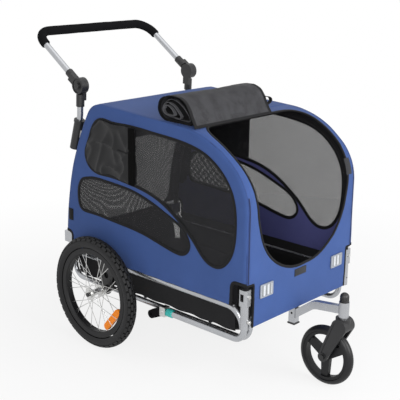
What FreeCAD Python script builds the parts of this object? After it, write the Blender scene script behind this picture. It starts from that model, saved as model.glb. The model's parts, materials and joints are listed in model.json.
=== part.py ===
import FreeCAD, Part
import math
import os

# Dog bike trailer: a soft cabin on a steel tube frame, with two spoked wheels, a swivelling
# front caster, a push handle that tilts, and a tow bar stowed along the right side.
# Millimetres. +X is forward, +Y is the left side, +Z is up. While the pieces are drawn, X is
# counted from the rear axle; every piece is moved back by MID_X when it is written, so that
# the origin lies on the ground under the middle of the whole trailer.

os.makedirs("parts", exist_ok=True)
V = FreeCAD.Vector

# Angles of the side-view paths, counted from +X towards +Z
UP_ANGLE = 90
DOWN_ANGLE = 270
RIGHT_ANGLE = 90
HALF_ANGLE = 180
FULL_ANGLE = 360

# Clearances shared by all pieces
SEAT_GAP = 0.3
SLIP_FIT = 0.05
CUT_OVERRUN = 5.0
CLOTH = 2.0

# Road wheels: 16 inch, with thin steel spokes on a two-flange hub
TYRE_RADIUS = 203.0
TYRE_WIDTH = 46.0
TYRE_WALL = 4.0
TYRE_DEPTH_SHARE = 0.876
RIM_DEPTH = 20.7
RIM_WIDTH = 29.0
RIM_WALL = 4.5
RIM_CHAMFER_SHARE = 0.8
HUB_HALF_LENGTH = 30.0
HUB_BARREL_RADIUS = 11.0
HUB_END_RADIUS = 14.0
HUB_FLANGE_RADIUS = 22.0
HUB_FLANGE_THICKNESS = 3.0
HUB_FLANGE_OFFSET = 24.0
SPOKES_PER_FLANGE = 14
SPOKE_RADIUS = 1.1
SPOKE_LEAN_ANGLE = 48.0
SPOKE_RIM_OFFSET = 3.0
AXLE_RADIUS = 6.0
AXLE_COLLAR_RADIUS = 10.0
WHEEL_OUTSET = 64.0
REFLECTOR_LENGTH = 112.0
REFLECTOR_WIDTH = 25.0
REFLECTOR_THICKNESS = 11.0
REFLECTOR_RIM_GAP = 2.8
REFLECTOR_ANGLE = -40.0

# Push button in the end of each wheel axle
AXLE_BUTTON_RADIUS = 7.5
AXLE_BUTTON_THICKNESS = 4.0
AXLE_BUTTON_TRAVEL = 3.0
AXLE_BUTTON_STEM_RADIUS = 3.0
AXLE_BUTTON_STEM_LENGTH = 16.0

# Cabin profile, seen from the right: up the front, over the brow and roof, down the back
FRONT_X = 648.0
FRONT_DROP = 59.0
FRONT_CURVE_RISE = 315.0
BROW_LOW_RADIUS = 181.0
BROW_LOW_ANGLE = 46.0
BROW_HIGH_RADIUS = 352.0
BROW_HIGH_ANGLE = 40.9
ROOF_LENGTH = 379.0
ROOF_SEAM = 26.0
REAR_TOP_RADIUS = 78.0
REAR_TOP_ANGLE = 63.6
REAR_RADIUS = 974.0
REAR_SWEEP_ANGLE = 27.5
SIDE_HEM_GAP = 1.0
BACK_HEM_GAP = 10.0
CORNER_CUT_WIDTH = 32.0
CORNER_CUT_RISE = 85.0
CORNER_CUT_LENGTH = 56.0
REAR_CUT_RISE = 75.0
REAR_CUT_LENGTH = 34.0
CORNER_CUT_RADIUS = 14.0

# Front door opening
LIP_RISE = 91.0
OPENING_RUN = 244.0
OPENING_MARGIN = 38.8
OPENING_LEAN_ANGLE = 45.0

# Windows and side pocket
MESH_THICKNESS = 1.0
MESH_MARGIN = 9.0
POCKET_SHARE = 0.438
POCKET_THICKNESS = 5.0

# Steel frame
FRAME_Y = 272.0
TUBE_WALL = 1.5
RAIL_RADIUS = 11.0
RAIL_RISE = 98.0
RAIL_FRONT_BEND = 62.0
RAIL_REAR_BEND = 30.0
LOWER_RAIL_RADIUS = 9.5
LOWER_RAIL_INSET = 27.0
LOWER_RAIL_DROP = 111.0
LOWER_RAIL_BEND = 45.0
HOOP_RADIUS = 9.5
HOOP_INSET = 15.0
HOOP_FOOT_RISE = 25.0
UPRIGHT_SETBACK = 18.0
REAR_BRACKET_RISE = 29.0
REAR_BRACKET_HEIGHT = 40.0
REAR_BRACKET_WALL = 4.0
POST_RADIUS = 14.0
POST_DROP = 63.0
POST_BRACKET_RISE = 17.0
POST_BRACKET_HEIGHT = 54.0
POST_BRACKET_WIDTH = 31.0
POST_BRACKET_WALL = 2.5
POST_NOTCH_WIDTH = 13.0
POST_NOTCH_HEIGHT = 24.0
HOOP_BOLT_RADIUS = 3.0
HOOP_BOLT_HEAD_RADIUS = 6.0
HOOP_BOLT_HEAD = 4.0
FRONT_CROSS_DROP = 39.0
CROSS_RADIUS = 9.5
FLOOR_CROSS_SHARES = (0.046, 0.439, 0.826)
REAR_CROSS_DROP = 26.0
ROOF_BAR_RADIUS = 7.0
FLOOR_THICKNESS = 5.0
FLOOR_FRONT_GAP = 7.5
FLOOR_REAR_GAP = 27.0
FLOOR_SIDE_GAP = 7.0
FLOOR_CORNER = 30.0
SKIRT_RISE = 2.0
SKIRT_FRONT_GAP = 23.0
SKIRT_REAR_GAP = 66.0
AXLE_PLATE_THICKNESS = 5.0
AXLE_PLATE_TOP_WIDTH = 92.0
AXLE_PLATE_FOOT_RADIUS = 22.0
AXLE_BOSS_RADIUS = 13.0

# Rolled-up door cover on the roof
ROLL_RADIUS = 41.0
ROLL_PITCH = 11.0
ROLL_CLOTH = 4.0
ROLL_HALF_TURN_COUNT = 6
ROLL_LIP_ANGLE = 15.0
ROLL_TAIL_RADIUS = 205.0
ROLL_TAIL_ANGLE = 45.0
ROLL_SETBACK = 112.0
ROLL_SIDE_GAP = 11.8
ROLL_LENGTH = 384.0

# Reflectors on the front cover
PATCH_WIDTH = 58.0
PATCH_HEIGHT = 40.0
PATCH_THICKNESS = 5.0
PATCH_INSET = 91.8
PATCH_DROP = 39.0
PATCH_CORNER = 4.0

# Caster at the nose
HEAD_REACH = 170.0
HEAD_RADIUS = 17.0
HEAD_HEIGHT = 54.0
CASTER_TRAIL = 56.0
CASTER_RADIUS = 101.6
CASTER_TYRE_WIDTH = 32.0
CASTER_TYRE_DEPTH = 18.0
CASTER_RIM_DEPTH = 10.0
CASTER_BEAD_SHARE = 0.8
CASTER_SPOKE_COUNT = 3
CASTER_HUB_RADIUS = 17.0
CASTER_SPOKE_WIDTH = 34.0
CASTER_SPOKE_THICKNESS = 16.0
CASTER_SPOKE_TAPER_SHARE = 0.72
CASTER_BOLT_RADIUS = 5.0
CASTER_BOLT_HEAD_RADIUS = 9.0
CASTER_BOLT_HEAD = 5.0
FORK_INNER_WIDTH = 38.0
FORK_BLADE = 8.0
FORK_CROWN_RADIUS = 27.0
FORK_FOOT_RADIUS = 17.0
FORK_CROWN_RISE = 120.4
FORK_COLLAR_HEIGHT = 28.0
FORK_CROWN_DEPTH = 13.0
FORK_RECESS = 2.0
FORK_RECESS_MARGIN = 7.0
STEM_RADIUS = 10.0
KNOB_RADIUS = 15.0
KNOB_HEIGHT = 31.0
KNOB_PIN_RADIUS = 4.0
KNOB_PIN_LENGTH = 10.0
KNOB_GROOVE = 1.6
KNOB_GROOVE_COUNT = 3
LEG_SETBACK = 11.0
LEG_WIDTH = 25.0
LEG_WALL = 2.0
LEG_LENGTH = 86.0
LEG_HOLE_RADIUS = 4.0
LEG_HOLE_RISE = 35.0
FOOT_CAP_HEIGHT = 6.0
FOOT_CAP_LIP = 2.5
ARM_START_RISE = 25.0
ARM_BEND_REACH = 56.0
ARM_BEND_DROP = 14.0
ARM_BEND_RADIUS = 60.0
ARM_HEIGHT = 26.0
ARM_WIDTH = 20.0
ARM_WALL = 2.0

# Push handle
HINGE_SETBACK = 117.8
HINGE_RISE = 50.0
HINGE_RADIUS = 28.0
HINGE_HALF = 15.0
HINGE_GAP = 0.3
HANDLE_ANGLE = 145.6
HANDLE_REACH = 293.0
HANDLE_RADIUS = 11.0
HANDLE_BEND = 62.0
GRIP_RADIUS = 17.0
GRIP_START = 221.0
SOCKET_RADIUS = 14.5
SOCKET_START = 31.0
SOCKET_END = 74.0
SOCKET_NECK = 23.0
LOWER_ANGLE = 267.0
LOWER_STRAIGHT = 54.0
LOWER_BEND = 70.0
LOWER_BEND_ANGLE = -13.4
LOWER_TAIL = 114.0
SLEEVE_RADIUS = 17.5
SLEEVE_LENGTH = 110.0
SLEEVE_FLARE = 2.0
SLEEVE_FLARE_LENGTH = 8.0
STAY_RISE = 57.6
STAY_HEIGHT = 26.0
STAY_THICKNESS = 8.0
HINGE_BUTTON_RADIUS = 11.0
HINGE_BUTTON_DEPTH = 9.0
HINGE_BUTTON_PROUD = 5.0
HINGE_BUTTON_TRAVEL = 4.0
HINGE_RIM_WIDTH = 4.0
HINGE_RIM_DEPTH = 2.0
HINGE_PIN_RADIUS = 5.0

# Tow bar
TOW_RADIUS = 11.0
TOW_DROP = 105.0
TOW_BEND = 42.0
TOW_STEM_RISE = 5.0
TOW_COLLAR_RADIUS = 14.0
TOW_COLLAR_LENGTH = 30.0
TOW_COLLAR_ROUND = 5.0
CLEVIS_LENGTH = 26.0
CLEVIS_WIDTH = 25.0
CLEVIS_HEIGHT = 34.0
CLEVIS_WALL = 4.0
CLEVIS_PIN_RADIUS = 4.0
TYRE_PASS_GAP = 7.0
COUPLER_THICKNESS = 17.0
COUPLER_LENGTH = 53.7
COUPLER_END_RADIUS = 15.0
COUPLER_DROP = 26.0
COUPLER_EYE_RADIUS = 6.0
LOCK_PIN_RADIUS = 3.0
LOCK_PIN_DROP = 35.0
LOCK_KNOB_RADIUS = 6.0
LOCK_KNOB_LENGTH = 9.0
LOCK_GROOVE_DEPTH = 5.0
LOCK_GROOVE_HEIGHT = 8.0

# Window outlines, as shares of the side panel's length from the back and height from its foot
UPPER_WINDOW_SHARES = (
    (0.270, 0.905), (0.200, 0.876), (0.160, 0.757), (0.141, 0.661), (0.166, 0.594),
    (0.270, 0.567), (0.386, 0.553), (0.478, 0.535), (0.583, 0.485), (0.676, 0.397),
    (0.757, 0.289), (0.815, 0.210), (0.866, 0.201), (0.917, 0.269), (0.940, 0.391),
    (0.942, 0.499), (0.925, 0.634), (0.878, 0.741), (0.791, 0.831), (0.687, 0.869),
    (0.513, 0.889), (0.374, 0.899),
)
LOWER_WINDOW_SHARES = (
    (0.124, 0.497), (0.178, 0.517), (0.282, 0.515), (0.397, 0.503), (0.513, 0.465),
    (0.629, 0.400), (0.699, 0.334), (0.718, 0.257), (0.693, 0.214), (0.641, 0.210),
    (0.513, 0.251), (0.397, 0.276), (0.270, 0.287), (0.155, 0.293), (0.104, 0.307),
    (0.091, 0.373), (0.098, 0.454),
)

# Right half of the front opening: half-width shares, and shares of the way from lip to top
OPENING_SHARES = (
    (0.27, 0.008), (0.51, 0.042), (0.71, 0.095), (0.84, 0.158), (0.92, 0.230),
    (0.97, 0.305), (1.01, 0.450), (1.04, 0.630), (1.04, 0.790), (1.00, 0.905), (0.90, 0.970), (0.65, 0.995),
)

# Places that follow from the sizes above: wheels
RIM_TOP_RADIUS = TYRE_RADIUS - TYRE_WIDTH * TYRE_DEPTH_SHARE
RIM_INNER_RADIUS = RIM_TOP_RADIUS - RIM_DEPTH
REFLECTOR_HALF_SPAN = (REFLECTOR_LENGTH - REFLECTOR_WIDTH) / 2
REFLECTOR_ORBIT = math.sqrt(
    (RIM_INNER_RADIUS - REFLECTOR_RIM_GAP - REFLECTOR_WIDTH / 2) ** 2 - REFLECTOR_HALF_SPAN ** 2)
WHEEL_Y = FRAME_Y + WHEEL_OUTSET

# Across the cabin
PANEL_IN_Y = FRAME_Y + HOOP_RADIUS + SEAT_GAP
PANEL_OUT_Y = PANEL_IN_Y + CLOTH
OPENING_WIDTH = 2 * (PANEL_IN_Y - OPENING_MARGIN)
LOWER_RAIL_Y = FRAME_Y - LOWER_RAIL_INSET
FLOOR_HALF_WIDTH = FRAME_Y - CLOTH / 2 - FLOOR_SIDE_GAP
PATCH_Y = PANEL_IN_Y - PATCH_INSET
ROLL_NEAR_Y = ROLL_SIDE_GAP - PANEL_OUT_Y

# Heights counted from the upper rail, which sits above the wheel axles
RAIL_Z = TYRE_RADIUS + RAIL_RISE
SIDE_BOTTOM_Z = RAIL_Z + RAIL_RADIUS + SIDE_HEM_GAP
BACK_BOTTOM_Z = RAIL_Z + RAIL_RADIUS + BACK_HEM_GAP
FRONT_BOTTOM_Z = RAIL_Z - FRONT_DROP
FRONT_CURVE_Z = RAIL_Z + FRONT_CURVE_RISE
CORNER_CUT_TOP_Z = RAIL_Z + CORNER_CUT_RISE
REAR_CUT_TOP_Z = RAIL_Z + REAR_CUT_RISE
LIP_Z = RAIL_Z + LIP_RISE
PATCH_Z = LIP_Z - PATCH_DROP
LOWER_RAIL_Z = RAIL_Z - LOWER_RAIL_DROP
HOOP_FOOT_Z = RAIL_Z + HOOP_FOOT_RISE
REAR_BRACKET_Z = RAIL_Z + REAR_BRACKET_RISE
POST_BOTTOM_Z = RAIL_Z - POST_DROP
POST_BRACKET_Z = RAIL_Z + POST_BRACKET_RISE
POST_BRACKET_TOP_Z = POST_BRACKET_Z + POST_BRACKET_HEIGHT
FRONT_CROSS_Z = RAIL_Z - FRONT_CROSS_DROP
REAR_CROSS_Z = RAIL_Z - REAR_CROSS_DROP
TOW_Z = RAIL_Z - TOW_DROP
TOW_STEM_TOP_Z = RAIL_Z + TOW_STEM_RISE
LOCK_PIN_Z = RAIL_Z - LOCK_PIN_DROP
LEG_BOTTOM_Z = FRONT_CROSS_Z - LEG_LENGTH
LEG_HOLE_Z = LEG_BOTTOM_Z + LEG_HOLE_RISE
ARM_START_Z = LEG_BOTTOM_Z + ARM_START_RISE

# Heights counted from the caster's axle
FORK_CROWN_Z = CASTER_RADIUS + FORK_CROWN_RISE
HEAD_BOTTOM_Z = FORK_CROWN_Z + FORK_COLLAR_HEIGHT
HEAD_TOP_Z = HEAD_BOTTOM_Z + HEAD_HEIGHT
ARM_END_Z = (HEAD_BOTTOM_Z + HEAD_TOP_Z) / 2
ARM_BEND_Z = ARM_END_Z - ARM_BEND_DROP

# Along the trailer
POST_X = FRONT_X - HOOP_INSET
OPENING_TOP_X = FRONT_X - OPENING_RUN
ROLL_X = OPENING_TOP_X - ROLL_SETBACK
LEG_X = POST_X - LEG_SETBACK
ARM_BEND_X = FRONT_X + ARM_BEND_REACH
HEAD_X = FRONT_X + HEAD_REACH
CASTER_AXLE_X = HEAD_X - CASTER_TRAIL
COUPLER_EYE_X = TYRE_RADIUS + TYRE_PASS_GAP + COUPLER_END_RADIUS
CLEVIS_PIN_X = COUPLER_EYE_X + COUPLER_LENGTH
CLEVIS_BACK_X = CLEVIS_PIN_X - CLEVIS_LENGTH / 3
TOW_END_X = CLEVIS_BACK_X + CLEVIS_LENGTH
ROOF_HEADING_ANGLE = UP_ANGLE + BROW_LOW_ANGLE + BROW_HIGH_ANGLE
X_AXIS = V(1, 0, 0)
Y_AXIS = V(0, 1, 0)
Z_AXIS = V(0, 0, 1)
ORIGIN = V(0, 0, 0)


def save(name, shape):
    """Write one piece, moved so that the origin lies under the middle of the trailer."""
    moved = shape.copy()
    moved.translate(V(-MID_X, 0, 0))
    moved.exportStep("parts/" + name + ".step")


def left_of(shape):
    """The left-hand copy of a right-hand piece."""
    return shape.mirror(ORIGIN, Y_AXIS)


def group(solids):
    return Part.makeCompound(solids)


def polar(angle):
    """Direction in the side view, counted from +X towards +Z."""
    return V(math.cos(math.radians(angle)), 0, math.sin(math.radians(angle)))


def walk(start, heading, steps):
    """Edges of a side-view path. A step is a length, or a (radius, turn) pair, left positive."""
    edges = []
    point = start
    for step in steps:
        if isinstance(step, tuple):
            radius, turn = step
            side = math.copysign(1, turn)
            centre = point + polar(heading + RIGHT_ANGLE * side) * radius
            middle = centre - polar(heading + turn / 2 + RIGHT_ANGLE * side) * radius
            heading = heading + turn
            end = centre - polar(heading + RIGHT_ANGLE * side) * radius
            edges.append(Part.Arc(point, middle, end).toShape())
        else:
            end = point + polar(heading) * step
            edges.append(Part.LineSegment(point, end).toShape())
        point = end
    return edges


def end_of(edges):
    """Last point of a path made by walk."""
    return edges[-1].valueAt(edges[-1].LastParameter)


def sweep(edges, radius):
    """Round bar along a path of tangent edges."""
    first = edges[0]
    start = first.valueAt(first.FirstParameter)
    ring = Part.makeCircle(radius, start, first.tangentAt(first.FirstParameter))
    return Part.Wire(edges).makePipeShell([Part.Wire(ring)], True, False)


def tube(edges, radius, wall):
    return sweep(edges, radius).cut(sweep(edges, radius - wall))


def bar_y(radius, x, z, y_from, y_to):
    """Round bar along Y."""
    return Part.makeCylinder(radius, y_to - y_from, V(x, y_from, z), Y_AXIS)


def pipe_y(radius, wall, x, z, y_from, y_to):
    return bar_y(radius, x, z, y_from, y_to).cut(bar_y(radius - wall, x, z, y_from, y_to))


def post_z(radius, x, y, z_from, z_to):
    """Round bar along Z."""
    return Part.makeCylinder(radius, z_to - z_from, V(x, y, z_from), Z_AXIS)


def block(x_from, x_to, y_from, y_to, z_from, z_to):
    return Part.makeBox(x_to - x_from, y_to - y_from, z_to - z_from, V(x_from, y_from, z_from))


def slab(edges, y_from, y_to):
    """Plate with a closed side-view outline, between two Y planes."""
    face = Part.Face(Part.Wire(Part.__sortEdges__(edges)))
    face.translate(V(0, y_from, 0))
    return face.extrude(V(0, y_to - y_from, 0))


def rounded_box_edges(x_from, x_to, z_from, z_to, radius):
    """Side-view rectangle with four round corners."""
    width = x_to - x_from - 2 * radius
    height = z_to - z_from - 2 * radius
    corner = (radius, RIGHT_ANGLE)
    start = V(x_from + radius, 0, z_from)
    return walk(start, 0, (width, corner, height, corner, width, corner, height, corner))


def tapered_slot(big, big_radius, small, small_radius):
    """Side-view outline round two circles and their common tangents."""
    run = small - big
    heading = math.degrees(math.atan2(run.z, run.x))
    lean = math.degrees(math.acos((big_radius - small_radius) / run.Length))
    a = big + polar(heading - lean) * big_radius
    b = small + polar(heading - lean) * small_radius
    c = small + polar(heading + lean) * small_radius
    d = big + polar(heading + lean) * big_radius
    tip = small + polar(heading) * small_radius
    tail = big - polar(heading) * big_radius
    return [
        Part.LineSegment(a, b).toShape(),
        Part.Arc(b, tip, c).toShape(),
        Part.LineSegment(c, d).toShape(),
        Part.Arc(d, tail, a).toShape(),
    ]


def closed_curve(points):
    """Smooth closed curve through a ring of points."""
    curve = Part.BSplineCurve()
    curve.interpolate(points, PeriodicFlag=True)
    return [curve.toShape()]


def ring_section(radius_in, radius_out, half_width):
    """Rectangular section for a turned ring about the Y axis."""
    return Part.Face(Part.makePolygon([
        V(radius_in, -half_width, 0), V(radius_out, -half_width, 0),
        V(radius_out, half_width, 0), V(radius_in, half_width, 0),
        V(radius_in, -half_width, 0),
    ]))


def turned(face):
    """Solid of revolution about the Y axis through the origin."""
    return face.revolve(ORIGIN, Y_AXIS, FULL_ANGLE)


# Cabin cover profile
def profile(inset, front_z, tail_z):
    """The cabin's side profile, moved inwards by inset, from front_z to tail_z."""
    steps = [
        FRONT_CURVE_Z - front_z,
        (BROW_LOW_RADIUS - inset, BROW_LOW_ANGLE),
        (BROW_HIGH_RADIUS - inset, BROW_HIGH_ANGLE),
        ROOF_SEAM,
        ROOF_LENGTH - ROOF_SEAM,
        (REAR_TOP_RADIUS - inset, REAR_TOP_ANGLE),
        (REAR_RADIUS - inset, REAR_SWEEP_ANGLE),
    ]
    start = V(FRONT_X - inset, 0, front_z)
    edges = walk(start, UP_ANGLE, steps)
    heading = ROOF_HEADING_ANGLE + REAR_TOP_ANGLE + REAR_SWEEP_ANGLE
    drop = (end_of(edges).z - tail_z) / abs(polar(heading).z)
    return walk(start, UP_ANGLE, steps + [drop])


def roof_z(x):
    """Height of the roof cloth's outer face above a place on its straight run."""
    start = end_of(profile(0, FRONT_BOTTOM_Z, BACK_BOTTOM_Z)[0:3])
    return start.z + (x - start.x) * math.tan(math.radians(ROOF_HEADING_ANGLE))


FRONT_STEPS = slice(0, 4)
ROOF_STEPS = slice(4, 6)
BACK_STEPS = slice(6, 8)


def cover_band(part_of_profile, front_z, tail_z):
    """Sheet of cloth that follows a stretch of the profile, across the cabin."""
    outer = profile(0, front_z, tail_z)[part_of_profile]
    inner = profile(CLOTH, front_z, tail_z)[part_of_profile]
    first_out = outer[0].valueAt(outer[0].FirstParameter)
    first_in = inner[0].valueAt(inner[0].FirstParameter)
    caps = [
        Part.LineSegment(first_out, first_in).toShape(),
        Part.LineSegment(end_of(outer), end_of(inner)).toShape(),
    ]
    return slab(outer + inner + caps, -PANEL_IN_Y, PANEL_IN_Y)


SIDE_EDGES = profile(0, SIDE_BOTTOM_Z, SIDE_BOTTOM_Z)
SIDE_REAR_X = end_of(SIDE_EDGES).x
ROOF_END = end_of(SIDE_EDGES[0:5])
PANEL_LENGTH = FRONT_X - SIDE_REAR_X
PANEL_HEIGHT = ROOF_END.z - SIDE_BOTTOM_Z
POCKET_EDGE_X = SIDE_REAR_X + PANEL_LENGTH * POCKET_SHARE
HINGE_X = ROOF_END.x - HINGE_SETBACK
HINGE_Z = ROOF_END.z + HINGE_RISE
HANDLE_BACK_X = HINGE_X + HANDLE_REACH * math.cos(math.radians(HANDLE_ANGLE))
MID_X = (CASTER_AXLE_X + CASTER_RADIUS + HANDLE_BACK_X - GRIP_RADIUS) / 2


def window_edges(shares, grow):
    """Window outline from its shares, moved outwards by grow."""
    points = []
    for along_share, up_share in shares:
        along = SIDE_REAR_X + along_share * PANEL_LENGTH
        points.append(V(along, 0, SIDE_BOTTOM_Z + up_share * PANEL_HEIGHT))
    moved = []
    count = len(points)
    for index, point in enumerate(points):
        run = points[(index + 1) % count] - points[index - 1]
        outward = V(-run.z, 0, run.x)
        outward.normalize()
        moved.append(point - outward * grow)
    return closed_curve(moved)


def clear_side(shares):
    """Turning sense of a window's points, so that grow always means outwards."""
    area = 0
    for (x_one, z_one), (x_two, z_two) in zip(shares, shares[1:] + shares[:1]):
        area = area + x_one * z_two - x_two * z_one
    return math.copysign(1, area)


def window_slab(shares, grow, y_from, y_to):
    return slab(window_edges(shares, grow * clear_side(shares)), y_from, y_to)


def side_cover():
    """Right side panel with both windows and the cut-outs round the front post and rear bracket."""
    foot = Part.LineSegment(end_of(SIDE_EDGES), V(FRONT_X, 0, SIDE_BOTTOM_Z)).toShape()
    panel = slab(SIDE_EDGES + [foot], -PANEL_OUT_Y, -PANEL_IN_Y)
    for shares in (UPPER_WINDOW_SHARES, LOWER_WINDOW_SHARES):
        panel = panel.cut(window_slab(shares, 0, -PANEL_OUT_Y - CUT_OVERRUN, -PANEL_IN_Y + CUT_OVERRUN))
    front_cut = rounded_box_edges(
        FRONT_X - CORNER_CUT_LENGTH, FRONT_X + CORNER_CUT_LENGTH,
        SIDE_BOTTOM_Z - CORNER_CUT_LENGTH, CORNER_CUT_TOP_Z, CORNER_CUT_RADIUS)
    rear_cut = rounded_box_edges(
        SIDE_REAR_X - CORNER_CUT_LENGTH, SIDE_REAR_X + REAR_CUT_LENGTH,
        SIDE_BOTTOM_Z - CORNER_CUT_LENGTH, REAR_CUT_TOP_Z, CORNER_CUT_RADIUS)
    for outline in (front_cut, rear_cut):
        panel = panel.cut(slab(outline, -PANEL_OUT_Y - CUT_OVERRUN, -PANEL_IN_Y + CUT_OVERRUN))
    return panel


def mesh_windows():
    """Mesh sheets sewn behind both windows of the right side panel."""
    sheets = []
    for shares in (UPPER_WINDOW_SHARES, LOWER_WINDOW_SHARES):
        sheets.append(window_slab(shares, MESH_MARGIN, -PANEL_IN_Y, -PANEL_IN_Y + MESH_THICKNESS))
    return group(sheets)


def side_pocket():
    """Cloth pocket that fills the rear part of the right upper window."""
    filled = window_slab(UPPER_WINDOW_SHARES, -SEAT_GAP, -PANEL_IN_Y - POCKET_THICKNESS, -PANEL_IN_Y)
    rear_part = block(
        SIDE_REAR_X, POCKET_EDGE_X, -PANEL_OUT_Y - POCKET_THICKNESS, -PANEL_IN_Y,
        SIDE_BOTTOM_Z, SIDE_BOTTOM_Z + PANEL_HEIGHT)
    return filled.common(rear_part)


def opening_tool():
    """Cutter with the door opening's outline, pushed out forwards and upwards."""
    outwards = polar(OPENING_LEAN_ANGLE)
    upwards = polar(OPENING_LEAN_ANGLE + RIGHT_ANGLE)
    lip = V(FRONT_X, 0, LIP_Z)
    climb = (V(OPENING_TOP_X, 0, roof_z(OPENING_TOP_X)) - lip).dot(upwards)
    base = lip - outwards * lip.dot(outwards)
    right = [base + V(0, -wide_share * OPENING_WIDTH / 2, 0) + upwards * climb * up_share
             for wide_share, up_share in OPENING_SHARES]
    left = [V(point.x, -point.y, point.z) for point in reversed(right)]
    ring = [base] + right + [base + upwards * climb] + left
    face = Part.Face(Part.Wire(closed_curve(ring)))
    return face.extrude(outwards * (FRONT_X + PANEL_HEIGHT + SIDE_BOTTOM_Z))


def front_cover():
    """Front of the cabin up to the roof seam: door opening, corner cut-outs, room for the arm."""
    band = cover_band(FRONT_STEPS, FRONT_BOTTOM_Z, BACK_BOTTOM_Z)
    band = band.cut(opening_tool())
    band = band.cut(arm_slab(ARM_HEIGHT / 2 + SEAT_GAP, ARM_WIDTH / 2 + SEAT_GAP, LEG_X, HEAD_X))
    inner_edge = PANEL_IN_Y - CORNER_CUT_WIDTH
    for side in (-1, 1):
        near, far = sorted((side * inner_edge, side * (PANEL_IN_Y + CUT_OVERRUN)))
        band = band.cut(block(
            FRONT_X - CORNER_CUT_LENGTH, FRONT_X + CUT_OVERRUN, near, far,
            FRONT_BOTTOM_Z - CUT_OVERRUN, CORNER_CUT_TOP_Z))
    return band


def back_cover():
    """Back of the cabin, with slits where the handle stays pass through to the hoops."""
    band = cover_band(BACK_STEPS, FRONT_BOTTOM_Z, BACK_BOTTOM_Z)
    slit_half = STAY_THICKNESS / 2 + SEAT_GAP
    stay = stay_line()
    for side in (-1, 1):
        band = band.cut(block(
            stay[0].x, stay[1].x, side * FRAME_Y - slit_half, side * FRAME_Y + slit_half,
            stay[0].z - STAY_HEIGHT / 2 - SEAT_GAP, stay[0].z + STAY_HEIGHT / 2 + SEAT_GAP))
        near, far = sorted((side * (PANEL_IN_Y - REAR_CUT_WIDTH), side * (PANEL_IN_Y + CUT_OVERRUN)))
        band = band.cut(block(
            SIDE_REAR_X - CUT_OVERRUN, SIDE_REAR_X + REAR_CUT_LENGTH, near, far,
            BACK_BOTTOM_Z - CUT_OVERRUN, REAR_CUT_TOP_Z))
    return band


REAR_CUT_WIDTH = PANEL_IN_Y - LOWER_RAIL_Y + LOWER_RAIL_RADIUS + REAR_BRACKET_WALL + SEAT_GAP


def door_roll():
    """The door cover rolled up on the roof: one sheet wound in half turns, run down to the opening."""
    step = ROLL_PITCH / 2
    centre = V(ROLL_X, 0, roof_z(ROLL_X) + ROLL_RADIUS + 2 * SEAT_GAP)
    first_radius = ROLL_RADIUS - ROLL_CLOTH - step * (ROLL_HALF_TURN_COUNT - 1)
    walls = []
    for thickness in (0, ROLL_CLOTH):
        radii = [first_radius + thickness + step * turn for turn in range(ROLL_HALF_TURN_COUNT + 1)]
        steps = [(radius, -HALF_ANGLE) for radius in radii[:-1]]
        steps.append((radii[-1], -RIGHT_ANGLE - ROLL_LIP_ANGLE))
        steps.append((ROLL_TAIL_RADIUS + thickness, -ROLL_TAIL_ANGLE))
        walls.append(walk(centre - V(first_radius + thickness, 0, 0), UP_ANGLE, steps))
    caps = []
    for place in (0, -1):
        ends = []
        for wall in walls:
            edge = wall[place]
            ends.append(edge.valueAt(edge.FirstParameter if place == 0 else edge.LastParameter))
        caps.append(Part.LineSegment(ends[0], ends[1]).toShape())
    sheet = slab(walls[0] + walls[1] + caps, ROLL_NEAR_Y, ROLL_NEAR_Y + ROLL_LENGTH)
    cabin = profile(-SEAT_GAP, SIDE_BOTTOM_Z, SIDE_BOTTOM_Z)
    foot = Part.LineSegment(end_of(cabin), V(FRONT_X + SEAT_GAP, 0, SIDE_BOTTOM_Z)).toShape()
    return sheet.cut(slab(cabin + [foot], -PANEL_IN_Y, PANEL_IN_Y))


def front_reflectors():
    """Two white reflector plates sewn to the front cover."""
    plates = []
    for side in (-1, 1):
        outline = rounded_box_edges(
            -PATCH_WIDTH / 2, PATCH_WIDTH / 2, -PATCH_HEIGHT / 2, PATCH_HEIGHT / 2, PATCH_CORNER)
        plate = slab(outline, 0, PATCH_THICKNESS)
        bevel = [edge for edge in plate.Edges if edge.BoundBox.YMin > PATCH_THICKNESS / 2]
        plate = plate.makeChamfer(PATCH_CORNER / 2, bevel)
        plate.rotate(ORIGIN, Z_AXIS, -RIGHT_ANGLE)
        plate.translate(V(FRONT_X, side * PATCH_Y, PATCH_Z))
        plates.append(plate)
    return group(plates)


# Steel frame
def hoop_edges():
    edges = profile(HOOP_INSET, HOOP_FOOT_Z, REAR_BRACKET_Z + REAR_BRACKET_HEIGHT / 2 + SEAT_GAP)
    for edge in edges:
        edge.translate(V(0, -FRAME_Y, 0))
    return edges


HOOP_REAR_X = end_of(hoop_edges()).x
REAR_UPRIGHT_X = HOOP_REAR_X - UPRIGHT_SETBACK
FLOOR_REAR_X = REAR_UPRIGHT_X + FLOOR_REAR_GAP
FLOOR_FRONT_X = LEG_X - LEG_WIDTH / 2 - FLOOR_FRONT_GAP
FLOOR_LENGTH = FLOOR_FRONT_X - FLOOR_REAR_X


def hoop():
    """Tube arch inside the right edge of the cabin cover."""
    return tube(hoop_edges(), HOOP_RADIUS, TUBE_WALL).cut(hoop_bolt_bore())


def rail_edges():
    """Path of the right upper rail: from the front post back, then up into the rear bracket."""
    drop = RAIL_FRONT_BEND
    start = V(POST_X - POST_RADIUS / 2, -FRAME_Y, RAIL_Z - drop)
    level = start.x - drop - HOOP_REAR_X - RAIL_REAR_BEND
    climb = REAR_BRACKET_Z + REAR_BRACKET_HEIGHT / 2 - SEAT_GAP - RAIL_Z - RAIL_REAR_BEND
    return walk(
        start, UP_ANGLE, ((drop, RIGHT_ANGLE), level, (RAIL_REAR_BEND, -RIGHT_ANGLE), climb))


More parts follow.
